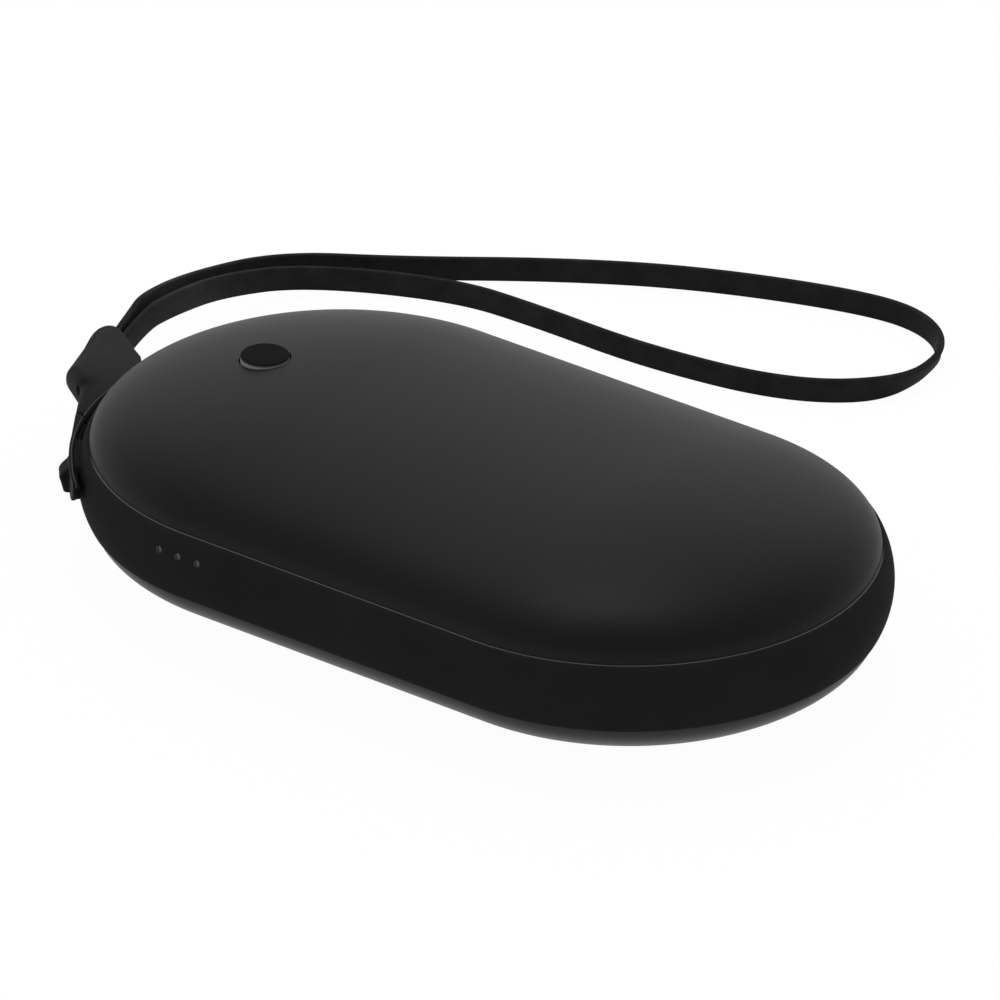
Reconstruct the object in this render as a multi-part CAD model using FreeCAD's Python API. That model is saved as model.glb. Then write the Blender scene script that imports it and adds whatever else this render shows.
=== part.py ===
"""Rechargeable hand warmer: two domed shells on an oval band, with a wrist strap and a port cover.

Millimetres. The origin is the centre of the flat base, +Z is up, +X runs along the case away
from the strap, and the status lights are on the -Y side.
"""
import FreeCAD, Part
import math
import os

os.makedirs("parts", exist_ok=True)
V = FreeCAD.Vector
UP = V(0, 0, 1)

# Battery: the case is as long and as wide as its cell needs
CELL_LENGTH = 50.0
CELL_WIDTH = 34.0
CELL_THICK = 9.6
CELL_CORNER = 2.5
CELL_OVERHANG = 4.25
CELL_SIDE_ROOM = 13.3
HALF_STRAIGHT = CELL_LENGTH / 2 - CELL_OVERHANG
BAND_RADIUS = CELL_WIDTH / 2 + CELL_SIDE_ROOM

# Case: an oval band between two domed shells
BAND_BULGE = 1.05
BAND_HEIGHT = 8.4
BAND_WALL = 3.4
SEAM_STEP = 0.4
DOME_RISE = 7.5
BASE_RISE = 8.1
BASE_CUT = 1.4
SHELL_WALL = 1.2
LIP_WALL = 0.6
LIP_DEPTH = 1.2
LIP_CLEARANCE = 0.1
LEDGE_WIDTH = 1.7
LEDGE_CLEARANCE = 0.4

# Tray with the battery well
TRAY_FLOOR = 0.9
TRAY_CLEARANCE = 0.15
CELL_SET_IN = 7.25
WELL_CLEARANCE = 0.3
WELL_WALL = 1.0
WELL_FLOOR = 0.8
WELL_RIM = 2.0
TAB_WIDTH = 4.0
TAB_THICK = 0.2
TAB_LENGTH = 6.0
TAB_OFFSET_Y = 9.0
TAB_CLEARANCE = 0.3

# Circuit board and what is soldered on it
BOARD_THICK = 1.0
BOARD_CLEARANCE = 0.4
CHIP_SIDE = 4.0
CHIP_HEIGHT = 0.9
CHIP_PAST_END = 4.25
CHIP_SIDE_STEP = 9.0
COIL_SIDE = 6.0
COIL_HEIGHT = 3.0
COIL_PAST_END = 12.75
COIL_SIDE_STEP = 11.5
COIL_CORNER = 1.0
SWITCH_SIDE = 6.0
SWITCH_HEIGHT = 3.4
PLUNGER_RADIUS = 1.6
PLUNGER_RISE = 1.0
PLUNGER_DEPTH = 1.4
SCREW_ANGLES = (86.0, -86.0, 22.0)
SCREW_INSET = 7.5
SCREW_RADIUS = 0.75
SCREW_CLEARANCE = 0.02
SCREW_LENGTH = 4.5
SCREW_HEAD_RADIUS = 1.4
SCREW_HEAD_HEIGHT = 0.9
BOSS_WALL = 1.1
BOSS_DEPTH = 3.6

# Charging socket and the opening for it in the band
PORT_ANGLE = -37.0
SOCKET_WIDTH = 8.94
SOCKET_HEIGHT = 3.26
SOCKET_DEPTH = 7.0
SOCKET_WALL = 0.3
SOCKET_BACK = 0.8
SOCKET_SET_BACK = 2.1
SOCKET_LUG = 1.2
SOCKET_LUG_LENGTH = 3.0
SOCKET_CLEARANCE = 0.2
TONGUE_WIDTH = 6.7
TONGUE_THICK = 0.7
TONGUE_LENGTH = 4.6

# Button on the top shell
BUTTON_FROM_END = 17.9
BUTTON_RADIUS = 2.86
BUTTON_PROUD = 0.55
BUTTON_EDGE = 0.25
BUTTON_TRAVEL = 0.5
BUTTON_CLEARANCE = 0.08
FLANGE_WIDTH = 0.6
FLANGE_THICK = 0.5
FLANGE_GAP = 0.3
STEM_RADIUS = 1.5
STEM_CLEARANCE = 0.08
GUIDE_WALL = 0.9
GUIDE_FLOOR = 0.8
GUIDE_GAP = 0.3

# Status lights behind the band
LIGHT_COUNT = 3
LIGHT_PITCH = 2.8
LIGHT_PAST_END = 0.05
LIGHT_DROP = 2.55
LIGHT_RADIUS = 0.45
LIGHT_CLEARANCE = 0.05
GUIDE_BAR_THICK = 1.0
GUIDE_BAR_HEIGHT = 1.8
GUIDE_BAR_MARGIN = 0.9
GUIDE_BAR_GAP = 0.7
LAMP_WIDTH = 1.6
LAMP_DEPTH = 1.0
LAMP_HEIGHT = 1.2
LAMP_GAP = 0.2

# Heating films and the foam that presses them on the shells
HEATER_MARGIN = 14.0
HEATER_END_MARGIN = 0.75
HEATER_CORNER = 3.0
HEATER_THICK = 0.3
HEATER_GAP = 0.05
FOAM_SET_IN = 11.0
FOAM_WIDTH = 17.0
FOAM_CORNER = 2.0
FOAM_SHIFT = 7.5
FOAM_GAP = 0.1
WINDOW_CLEARANCE = 0.3
SENSOR_RADIUS = 0.8
SENSOR_LENGTH = 3.0
SENSOR_GAP = 4.5

# Port cover: a soft strip on the band's end, hinged at the outside of its neck
STRIP_PROUD = 0.95
STRIP_GAP = 0.08
STRIP_SKIN = 0.4
STRIP_REBATE = 1.0
STRIP_HEIGHT = 4.2
STRIP_DROP = 1.45
STRIP_END_ANGLE = -52.0
STRIP_TOP_CORNER = 0.6
STRIP_LOW_CORNER = 2.4
HINGE_ANGLE = -21.5
HINGE_GAP = 0.15
JOINT_ANGLE = 0.3
KNUCKLE_RADIUS = 0.4
PLUG_CLEARANCE = 0.25
PLUG_REACH = 1.5
ROOT_END_ANGLE = -31.0
ROOT_PROUD = 0.7
NUB_ANGLE = -41.0
NUB_PROUD = 1.25
NUB_FOOT = 0.65
NUB_LENGTH = 3.2
NUB_DROP = 0.5
NUB_ROUND = 0.5

# Strap holder: a curved foot on the band and a sleeve along the tangent at its own angle
FOOT_END_ANGLE = 3.0
HOLDER_ANGLE = -20.0
HOLDER_WIDTH = 6.2
HOLDER_START = 10.8
HOLDER_END = 22.1
HOLDER_TAPER = 2.5
HOLDER_INSET = 0.6
MOUTH_INSET = 1.5
HOLDER_SINK = 0.35
HOLDER_ROUND = 2.0
INNER_ROUND = 0.8
NECK_START = -1.5
NECK_PROUD = 0.55
NECK_CORNER = 0.3
SHOULDER_START = 6.8
SHOULDER_WIDTH = 3.0
SHOULDER_ROUND = 1.3
WEB_WIDTH = 2.0
WEB_END = 15.5
WEB_ROOT_END = 8.0
POST_ANGLE = -7.0
POST_RADIUS = 0.9
POST_CLEARANCE = 0.05
POST_HEAD = 0.4
POST_HEAD_THICK = 0.8
POCKET_DEPTH = 5.3
POCKET_CLEARANCE = 0.15
EYE_RADIUS = 0.7
EYE_ALONG = 10.5
EYE_RISE = 0.65

# Wrist strap: one flat strip on edge, out of the holder, round a loop and back
STRAP_WIDTH = 3.0
STRAP_THICK = 0.8
STRAND_PITCH = 1.2
STRAP_LEAD = 10.7
STRAP_LIFT = 0.05
STRAP_DROP_START_Y = 18.0
STRAP_DROP_END_Y = 46.0
STRAP_LOOP = (
    (-64.1, 17.8), (-70.1, 34.1), (-69.9, 51.0), (-57.2, 58.9), (-42.1, 70.1), (-27.7, 78.4),
    (-9.5, 85.0), (0.4, 85.8), (7.4, 81.0), (7.8, 70.2), (-2.2, 61.4), (-20.8, 58.4),
    (-37.2, 58.8), (-49.1, 58.2), (-65.6, 50.3), (-68.5, 38.1), (-63.5, 22.7),
)

TINY = 1e-6

# Worked out from the sizes above
EDGE_RADIUS = BAND_RADIUS - BAND_BULGE
RIM_RADIUS = EDGE_RADIUS - SEAM_STEP
RIM_INNER = RIM_RADIUS - SHELL_WALL
BAND_INNER = BAND_RADIUS - BAND_WALL
REBATE_RADIUS = RIM_INNER + LIP_WALL + LIP_CLEARANCE
REBATE_DEPTH = LIP_DEPTH + LIP_CLEARANCE
BASE_DEPTH = BASE_RISE - BASE_CUT
LOW_SEAM = BASE_DEPTH
TOP_SEAM = LOW_SEAM + BAND_HEIGHT
MIDDLE = LOW_SEAM + BAND_HEIGHT / 2
BOARD_TOP = MIDDLE + BOARD_THICK / 2
BOARD_LOW = MIDDLE - BOARD_THICK / 2
TRAY_LOW = BOARD_LOW - TRAY_FLOOR
CELL_START_X = CELL_SET_IN - HALF_STRAIGHT
CELL_LOW = MIDDLE - CELL_THICK / 2
CELL_TOP = MIDDLE + CELL_THICK / 2
WELL_LOW = CELL_LOW - WELL_FLOOR
WELL_TOP = BOARD_TOP + WELL_RIM
WELL_START_X = CELL_START_X - WELL_CLEARANCE - WELL_WALL
BOARD_END_X = WELL_START_X - BOARD_CLEARANCE
PLUNGER_TOP = BOARD_TOP + SWITCH_HEIGHT + PLUNGER_RISE
LIGHT_Z = TOP_SEAM - LIGHT_DROP
LIGHT_MIDDLE_X = -HALF_STRAIGHT - LIGHT_PAST_END
BUTTON_X = BUTTON_FROM_END - HALF_STRAIGHT - RIM_RADIUS
FOAM_LENGTH = CELL_LENGTH - 2 * FOAM_SET_IN
FOAM_MIDDLE_X = CELL_START_X + CELL_LENGTH / 2 - FOAM_SHIFT
SENSOR_X = FOAM_MIDDLE_X - FOAM_LENGTH / 2 - SENSOR_GAP - SENSOR_LENGTH / 2
STRIP_INNER = BAND_RADIUS + STRIP_GAP
STRIP_OUTER = BAND_RADIUS + STRIP_PROUD
STRIP_TOP = TOP_SEAM - STRIP_DROP
STRIP_LOW = STRIP_TOP - STRIP_HEIGHT
PORT_Z = (STRIP_LOW + STRIP_TOP) / 2
SKIN_INNER = STRIP_OUTER - STRIP_SKIN
STRIP_MIDDLE = STRIP_OUTER - STRIP_SKIN / 2
HINGE_RADIUS = STRIP_OUTER + ROOT_PROUD - KNUCKLE_RADIUS
HOLDER_INNER = STRIP_OUTER - HOLDER_SINK
HOLDER_OUTER = HOLDER_INNER + HOLDER_WIDTH
HOLDER_MIDDLE = (HOLDER_INNER + HOLDER_OUTER) / 2
POCKET_FLOOR = HOLDER_END - POCKET_DEPTH
STRAP_FLOOR_Z = STRAP_LIFT + STRAP_WIDTH / 2


def box(start, end):
    """Box between two corners given as (x, y, z)."""
    size = [end[i] - start[i] for i in range(3)]
    return Part.makeBox(size[0], size[1], size[2], V(*start))


def rod(radius, start, end):
    """Round rod from one point to another."""
    way = V(*end) - V(*start)
    return Part.makeCylinder(radius, way.Length, V(*start), way)


def stadium(half, radius, z):
    """Closed outline of two straights and two round ends, each end in two quarter arcs."""
    slant = radius * math.sqrt(0.5)
    right = [V(half, -radius, z), V(half + slant, -slant, z), V(half + radius, 0, z),
             V(half + slant, slant, z), V(half, radius, z)]
    left = [V(-p.x, -p.y, z) for p in right]
    edges = []
    for end, following in ((right, left), (left, right)):
        edges.append(Part.Arc(*end[:3]).toShape())
        edges.append(Part.Arc(*end[2:]).toShape())
        edges.append(Part.LineSegment(end[4], following[0]).toShape())
    return Part.Wire(edges)


def plate(radius, low, high):
    """Flat plate with the case's outline."""
    return Part.Face(stadium(HALF_STRAIGHT, radius, low)).extrude(UP * (high - low))


def ring(inner, outer, low, high):
    return plate(outer, low, high).cut(plate(inner, low, high))


def carried(profile):
    """Solid of a section, drawn in the XZ plane from the axis outwards, carried once round the oval."""
    profile.rotate(V(0, 0, 0), UP, -90)
    profile.translate(V(HALF_STRAIGHT, 0, 0))
    half = profile.revolve(V(HALF_STRAIGHT, 0, 0), UP, 180)
    half = half.fuse(profile.extrude(V(-2 * HALF_STRAIGHT, 0, 0)))
    other = half.copy()
    other.rotate(V(0, 0, 0), UP, 180)
    return half.fuse(other).removeSplitter()


def dome(radius, rise, depth, seam, way):
    """Pillow on a seam plane: a quarter ellipse carried round the oval, cut off at a depth."""
    centre, crown = V(0, 0, seam), V(0, 0, seam + way * depth)
    ellipse = Part.Ellipse(V(radius, 0, seam), V(0, 0, seam + way * rise), centre)
    last = math.asin(min(depth / rise, 1))
    corners = [ellipse.value(last), crown, centre, V(radius, 0, seam)]
    edges = [Part.ArcOfEllipse(ellipse, 0, last).toShape()]
    for a, b in zip(corners, corners[1:]):
        if a.distanceToPoint(b) > TINY:
            edges.append(Part.LineSegment(a, b).toShape())
    return carried(Part.Face(Part.Wire(edges)))


def top_dome(inset):
    """Solid under the top shell's outer surface, moved in by an inset."""
    return dome(RIM_RADIUS - inset, DOME_RISE - inset, DOME_RISE - inset, TOP_SEAM, 1)


def low_dome(inset):
    """Solid above the bottom shell's outer surface, moved in by an inset."""
    return dome(RIM_RADIUS - inset, BASE_RISE - inset, BASE_DEPTH - inset, LOW_SEAM, -1)


def dome_height(x, inset):
    """Height of the top shell's surface, moved in by an inset, on the long centre line."""
    share = max(abs(x) - HALF_STRAIGHT, 0) / (RIM_RADIUS - inset)
    return TOP_SEAM + (DOME_RISE - inset) * math.sqrt(1 - share * share)


def rounded_plan(start, end, low, high, corner):
    """Upright block with a rectangular plan and round corners."""
    block = box((start[0], start[1], low), (end[0], end[1], high))
    upright = [e for e in block.Edges if e.BoundBox.ZLength > high - low - TINY]
    return block.makeFillet(corner, upright)


def slot_bar(width, height, start_x, end_x):
    """Bar along X whose section is a slot with round ends, centred on the charging port."""
    radius = height / 2
    half = width / 2 - radius
    bar = box((start_x, -half, PORT_Z - radius), (end_x, half, PORT_Z + radius))
    for side in (-half, half):
        bar = bar.fuse(rod(radius, (start_x, side, PORT_Z), (end_x, side, PORT_Z)))
    return bar.removeSplitter()


def at_end(shape, angle):
    """Turn a shape drawn along -X from the origin to an angle round the strap end of the case."""
    shape.rotate(V(0, 0, 0), UP, -angle)
    shape.translate(V(-HALF_STRAIGHT, 0, 0))
    return shape


def end_point(angle, radius, along=0):
    """Point at a radius and a distance along the tangent, round the strap end of the case."""
    turn = math.radians(angle)
    x = -HALF_STRAIGHT - radius * math.cos(turn) + along * math.sin(turn)
    y = radius * math.sin(turn) + along * math.cos(turn)
    return (x, y)


def barrel():
    """Solid inside the band's outer surface: its bulged side carried once round the oval."""
    low, top = V(EDGE_RADIUS, 0, LOW_SEAM), V(EDGE_RADIUS, 0, TOP_SEAM)
    middle = V(BAND_RADIUS, 0, MIDDLE)
    axis_low, axis_top = V(0, 0, LOW_SEAM), V(0, 0, TOP_SEAM)
    side = [Part.Arc(low, middle, top).toShape()]
    for start, end in ((top, axis_top), (axis_top, axis_low), (axis_low, low)):
        side.append(Part.LineSegment(start, end).toShape())
    return carried(Part.Face(Part.Wire(side)))


def port_opening():
    width = SOCKET_WIDTH + 2 * SOCKET_CLEARANCE
    height = SOCKET_HEIGHT + 2 * SOCKET_CLEARANCE
    return at_end(slot_bar(width, height, -STRIP_OUTER, -BAND_INNER + LEDGE_WIDTH), PORT_ANGLE)


def light_places():
    first = LIGHT_MIDDLE_X - LIGHT_PITCH * (LIGHT_COUNT - 1) / 2
    return [first + LIGHT_PITCH * i for i in range(LIGHT_COUNT)]


def light_pins(radius):
    """Round pins from the lights' bar out through the band."""
    start_y = GUIDE_BAR_GAP - BAND_INNER
    pins = [rod(radius, (x, start_y, LIGHT_Z), (x, -STRIP_OUTER, LIGHT_Z)) for x in light_places()]
    return pins[0].multiFuse(pins[1:])


def middle_band():
    band = barrel().cut(plate(BAND_INNER, LOW_SEAM, TOP_SEAM))
    ledge = ring(BAND_INNER - LEDGE_WIDTH, BAND_INNER, LOW_SEAM + REBATE_DEPTH, TRAY_LOW)
    well = well_plan(WELL_CLEARANCE + WELL_WALL + LEDGE_CLEARANCE, LOW_SEAM, TOP_SEAM)
    band = band.fuse(ledge.cut(post_notch()).cut(well))
    band = band.cut(plate(REBATE_RADIUS, LOW_SEAM, LOW_SEAM + REBATE_DEPTH))
    band = band.cut(plate(REBATE_RADIUS, TOP_SEAM - REBATE_DEPTH, TOP_SEAM))
    band = band.cut(port_opening())
    band = band.cut(light_pins(LIGHT_RADIUS + LIGHT_CLEARANCE))
    hole = rod(POST_RADIUS + POST_CLEARANCE, (-STRIP_OUTER, 0, PORT_Z),
               (-BAND_INNER + LEDGE_WIDTH, 0, PORT_Z))
    return band.cut(at_end(hole, POST_ANGLE))


def top_shell():
    shell = top_dome(0).cut(top_dome(SHELL_WALL))
    shell = shell.fuse(ring(RIM_INNER, RIM_INNER + LIP_WALL, TOP_SEAM - LIP_DEPTH, TOP_SEAM))
    hole = rod(BUTTON_RADIUS + BUTTON_CLEARANCE, (BUTTON_X, 0, TOP_SEAM),
               (BUTTON_X, 0, TOP_SEAM + DOME_RISE))
    return shell.cut(hole)


def bottom_shell():
    shell = low_dome(0).cut(low_dome(SHELL_WALL))
    return shell.fuse(ring(RIM_INNER, RIM_INNER + LIP_WALL, LOW_SEAM, LOW_SEAM + LIP_DEPTH))


def button_top():
    return dome_height(BUTTON_X, 0) + BUTTON_PROUD


def flange_top():
    """Highest place for the button's flange under the sloping shell."""
    edge = max(abs(BUTTON_X - side * (BUTTON_RADIUS + FLANGE_WIDTH)) for side in (-1, 1))
    return dome_height(edge, SHELL_WALL) - FLANGE_GAP


def power_button():
    top = button_top()
    low = flange_top() - FLANGE_THICK
    cap = rod(BUTTON_RADIUS, (BUTTON_X, 0, low), (BUTTON_X, 0, top))
    rim = [e for e in cap.Edges if e.BoundBox.ZMin > top - BUTTON_EDGE]
    cap = cap.makeFillet(BUTTON_EDGE, rim)
    flange = rod(BUTTON_RADIUS + FLANGE_WIDTH, (BUTTON_X, 0, low), (BUTTON_X, 0, low + FLANGE_THICK))
    stem = rod(STEM_RADIUS, (BUTTON_X, 0, PLUNGER_TOP), (BUTTON_X, 0, low))
    return cap.fuse(flange).fuse(stem).removeSplitter()


def button_guide():
    """Cup glued under the top shell, with a floor that keeps the button's flange in."""
    inner = BUTTON_RADIUS + FLANGE_WIDTH + GUIDE_GAP
    low = flange_top() - FLANGE_THICK - BUTTON_TRAVEL - GUIDE_GAP - GUIDE_FLOOR
    cup = rod(inner + GUIDE_WALL, (BUTTON_X, 0, low), (BUTTON_X, 0, button_top()))
    cup = cup.cut(rod(inner, (BUTTON_X, 0, low + GUIDE_FLOOR), (BUTTON_X, 0, button_top())))
    cup = cup.cut(rod(STEM_RADIUS + STEM_CLEARANCE, (BUTTON_X, 0, low), (BUTTON_X, 0, button_top())))
    return cup.common(top_dome(SHELL_WALL + HEATER_GAP))


def tact_switch():
    half = SWITCH_SIDE / 2
    body = box((BUTTON_X - half, -half, BOARD_TOP), (BUTTON_X + half, half, BOARD_TOP + SWITCH_HEIGHT))
    bore = rod(PLUNGER_RADIUS + STEM_CLEARANCE,
               (BUTTON_X, 0, BOARD_TOP + SWITCH_HEIGHT - PLUNGER_DEPTH - BUTTON_TRAVEL),
               (BUTTON_X, 0, BOARD_TOP + SWITCH_HEIGHT))
    return body.cut(bore)


def switch_plunger():
    return rod(PLUNGER_RADIUS, (BUTTON_X, 0, BOARD_TOP + SWITCH_HEIGHT - PLUNGER_DEPTH + BUTTON_CLEARANCE),
               (BUTTON_X, 0, PLUNGER_TOP))


def well_plan(margin, low, high):
    """Block round the battery with a margin on every side."""
    half = CELL_WIDTH / 2 + margin
    start, end = CELL_START_X - margin, CELL_START_X + CELL_LENGTH + margin
    return rounded_plan((start, -half), (end, half), low, high, CELL_CORNER + margin)


def foam_plan(margin, low, high):
    """Block where a foam pad stands, with a margin on every side."""
    half_x, half_y = FOAM_LENGTH / 2 + margin, FOAM_WIDTH / 2 + margin
    return rounded_plan((FOAM_MIDDLE_X - half_x, -half_y), (FOAM_MIDDLE_X + half_x, half_y),
                        low, high, FOAM_CORNER + margin)


def tab_boxes(margin):
    """The two battery tabs, on the board and up to the cell's end."""
    boxes = []
    for side in (-TAB_OFFSET_Y, TAB_OFFSET_Y):
        boxes.append(box((CELL_START_X - TAB_LENGTH - margin, side - TAB_WIDTH / 2 - margin, BOARD_TOP),
                         (CELL_START_X, side + TAB_WIDTH / 2 + margin, BOARD_TOP + TAB_THICK + margin)))
    return boxes


def socket_notch():
    """Space that the tray and the board leave for the charging socket."""
    reach = SOCKET_WIDTH / 2 + SOCKET_CLEARANCE
    back = BAND_RADIUS - SOCKET_SET_BACK - SOCKET_DEPTH - SOCKET_CLEARANCE
    notch = box((-BAND_RADIUS, -reach, LOW_SEAM), (-back, reach, TOP_SEAM))
    return at_end(notch, PORT_ANGLE)


def post_notch():
    """Space that the tray and the board leave for the strap holder's post."""
    reach = POST_RADIUS + POST_HEAD + TRAY_CLEARANCE
    start = BAND_INNER - LEDGE_WIDTH - POST_HEAD_THICK - TRAY_CLEARANCE
    return at_end(box((-BAND_RADIUS, -reach, LOW_SEAM), (-start, reach, TOP_SEAM)), POST_ANGLE)


def screw_places():
    return [end_point(angle, BAND_INNER - SCREW_INSET) for angle in SCREW_ANGLES]


def inner_tray():
    tray = plate(BAND_INNER - TRAY_CLEARANCE, TRAY_LOW, BOARD_LOW)
    tray = tray.fuse(well_plan(WELL_CLEARANCE + WELL_WALL, WELL_LOW, WELL_TOP))
    tray = tray.cut(well_plan(WELL_CLEARANCE, CELL_LOW, WELL_TOP))
    tray = tray.cut(foam_plan(WINDOW_CLEARANCE, WELL_LOW, CELL_LOW))
    for x, y in screw_places():
        tray = tray.fuse(rod(SCREW_RADIUS + BOSS_WALL, (x, y, TRAY_LOW - BOSS_DEPTH), (x, y, TRAY_LOW)))
    for x, y in screw_places():
        tray = tray.cut(rod(SCREW_RADIUS + SCREW_CLEARANCE, (x, y, BOARD_TOP - SCREW_LENGTH - SCREW_RADIUS),
                            (x, y, BOARD_LOW)))
    for tab in tab_boxes(TAB_CLEARANCE):
        tray = tray.cut(tab)
    return tray.cut(socket_notch()).cut(post_notch()).removeSplitter()


def circuit_board():
    board = plate(BAND_INNER - BOARD_CLEARANCE, BOARD_LOW, BOARD_TOP)
    far = HALF_STRAIGHT + BAND_RADIUS
    board = board.cut(box((BOARD_END_X, -BAND_RADIUS, BOARD_LOW), (far, BAND_RADIUS, BOARD_TOP)))
    for x, y in screw_places():
        board = board.cut(rod(SCREW_RADIUS + SCREW_CLEARANCE, (x, y, BOARD_LOW), (x, y, BOARD_TOP)))
    return board.cut(socket_notch()).cut(post_notch())


def board_screws():
    screws = []
    for x, y in screw_places():
        shank = rod(SCREW_RADIUS, (x, y, BOARD_TOP - SCREW_LENGTH), (x, y, BOARD_TOP))
        head = rod(SCREW_HEAD_RADIUS, (x, y, BOARD_TOP), (x, y, BOARD_TOP + SCREW_HEAD_HEIGHT))
        screws.append(shank.fuse(head).removeSplitter())
    return Part.makeCompound(screws)


def usb_socket():
    """Steel socket shell sunk in the board's notch, with two lugs that lie on the board."""
    front = -(BAND_RADIUS - SOCKET_SET_BACK)
    shell = slot_bar(SOCKET_WIDTH, SOCKET_HEIGHT, front, front + SOCKET_DEPTH)
    cavity = slot_bar(SOCKET_WIDTH - 2 * SOCKET_WALL, SOCKET_HEIGHT - 2 * SOCKET_WALL,
                      front, front + SOCKET_DEPTH - SOCKET_BACK)
    shell = shell.cut(cavity)
    reach = SOCKET_WIDTH / 2 + SOCKET_CLEARANCE + SOCKET_LUG
    lug_start = front + SOCKET_DEPTH - SOCKET_BACK - SOCKET_LUG_LENGTH
    lugs = box((lug_start, -reach, BOARD_TOP),
               (lug_start + SOCKET_LUG_LENGTH, reach, BOARD_TOP + SOCKET_WALL))
    shell = shell.fuse(lugs.cut(slot_bar(SOCKET_WIDTH - SOCKET_WALL, SOCKET_HEIGHT - SOCKET_WALL,
                                         front, front + SOCKET_DEPTH)))
    return at_end(shell.removeSplitter(), PORT_ANGLE)


def socket_tongue():
    back = -(BAND_RADIUS - SOCKET_SET_BACK) + SOCKET_DEPTH - SOCKET_BACK
    tongue = box((back - TONGUE_LENGTH, -TONGUE_WIDTH / 2, PORT_Z - TONGUE_THICK / 2),
                 (back, TONGUE_WIDTH / 2, PORT_Z + TONGUE_THICK / 2))
    return at_end(tongue, PORT_ANGLE)


def control_chip():
    x, y = -HALF_STRAIGHT - CHIP_PAST_END, CHIP_SIDE_STEP
    half = CHIP_SIDE / 2
    return box((x - half, y - half, BOARD_TOP), (x + half, y + half, BOARD_TOP + CHIP_HEIGHT))


def power_coil():
    x, y = -HALF_STRAIGHT - COIL_PAST_END, COIL_SIDE_STEP
    half = COIL_SIDE / 2
    return rounded_plan((x - half, y - half), (x + half, y + half),
                        BOARD_TOP, BOARD_TOP + COIL_HEIGHT, COIL_CORNER)


def battery_cell():
    return well_plan(0, CELL_LOW, CELL_TOP)


def battery_tabs():
    return Part.makeCompound(tab_boxes(0))


def light_guide():
    """Clear bar behind the band with one pin for each light, flush with the band outside."""
    places = light_places()
    outer_y = GUIDE_BAR_GAP - BAND_INNER
    bar = box((places[0] - GUIDE_BAR_MARGIN, outer_y, LIGHT_Z - GUIDE_BAR_HEIGHT / 2),
              (places[-1] + GUIDE_BAR_MARGIN, outer_y + GUIDE_BAR_THICK, LIGHT_Z + GUIDE_BAR_HEIGHT / 2))
    return bar.fuse(light_pins(LIGHT_RADIUS).common(barrel())).removeSplitter()


def status_lamps():
    back_y = GUIDE_BAR_GAP - BAND_INNER + GUIDE_BAR_THICK + LAMP_GAP
    lamps = []
    for x in light_places():
        lamps.append(box((x - LAMP_WIDTH / 2, back_y, BOARD_TOP),
                         (x + LAMP_WIDTH / 2, back_y + LAMP_DEPTH, BOARD_TOP + LAMP_HEIGHT)))
    return Part.makeCompound(lamps)


def heater_plan(low, high):
    """Plan of a heating film, which lies on the straight part of a dome."""
    reach, side = HALF_STRAIGHT - HEATER_END_MARGIN, RIM_INNER - HEATER_MARGIN
    return rounded_plan((-reach, -side), (reach, side), low, high, HEATER_CORNER)


def top_heater():
    inset = SHELL_WALL + HEATER_GAP
    film = top_dome(inset).cut(top_dome(inset + HEATER_THICK))
    return film.common(heater_plan(TOP_SEAM, TOP_SEAM + DOME_RISE))


def bottom_heater():
    inset = SHELL_WALL + HEATER_GAP
    return low_dome(inset).cut(low_dome(inset + HEATER_THICK)).common(heater_plan(0, LOW_SEAM))


def top_foam():
    block = foam_plan(0, CELL_TOP, TOP_SEAM + DOME_RISE)
    room = top_dome(SHELL_WALL + HEATER_GAP + HEATER_THICK + FOAM_GAP)
    return block.common(room.fuse(plate(RIM_INNER, CELL_LOW, TOP_SEAM)))


def bottom_foam():
    block = foam_plan(0, 0, CELL_LOW)
    return block.common(low_dome(SHELL_WALL + HEATER_GAP + HEATER_THICK + FOAM_GAP))


def heat_sensor():
    z = SHELL_WALL + HEATER_GAP + HEATER_THICK + FOAM_GAP + SENSOR_RADIUS
    return rod(SENSOR_RADIUS, (SENSOR_X - SENSOR_LENGTH / 2, 0, z), (SENSOR_X + SENSOR_LENGTH / 2, 0, z))


def round_edges(block, radius, chosen):
    """Round the edges of a block whose middle point passes a test."""
    return block.makeFillet(radius, [e for e in block.Edges if chosen(e.CenterOfMass)])


def band_room():
    """Room for the band inside the soft strip, wider along the strip's top and bottom edges."""
    room = Part.makeCylinder(STRIP_INNER, TOP_SEAM)
    for low, high in ((0, STRIP_LOW + STRIP_REBATE), (STRIP_TOP - STRIP_REBATE, TOP_SEAM)):
        room = room.fuse(Part.makeCylinder(SKIN_INNER, high - low, V(0, 0, low)))
    return room


def strip_wall():
    """The soft strip's section carried right round the strap end, drawn at the origin."""
    return Part.makeCylinder(STRIP_OUTER, STRIP_HEIGHT, V(0, 0, STRIP_LOW)).cut(band_room())


def end_wedge(first, last):
    """Upright wedge between two angles round the strap end, drawn at the origin."""
    corners = [V(0, 0, 0)]
    for angle in (first, last):
        turn = math.radians(angle)
        corners.append(V(-math.cos(turn), math.sin(turn), 0) * (2 * STRIP_OUTER))
    return Part.Face(Part.makePolygon(corners + corners[:1])).extrude(UP * TOP_SEAM)


def cover_strip():
    """Strip on the band with round corners at its free end."""
    near = STRIP_OUTER * math.sin(math.radians(HINGE_ANGLE - PORT_ANGLE))
    far = STRIP_OUTER * math.sin(math.radians(STRIP_END_ANGLE - PORT_ANGLE))
    block = box((-2 * STRIP_OUTER, far, STRIP_LOW), (0, near, STRIP_TOP))
    for radius, height in ((STRIP_TOP_CORNER, STRIP_TOP), (STRIP_LOW_CORNER, STRIP_LOW)):
        block = round_edges(block, radius, lambda p: abs(p.y - far) < TINY and abs(p.z - height) < TINY)
    return at_end(block.common(strip_wall()), PORT_ANGLE)


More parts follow.
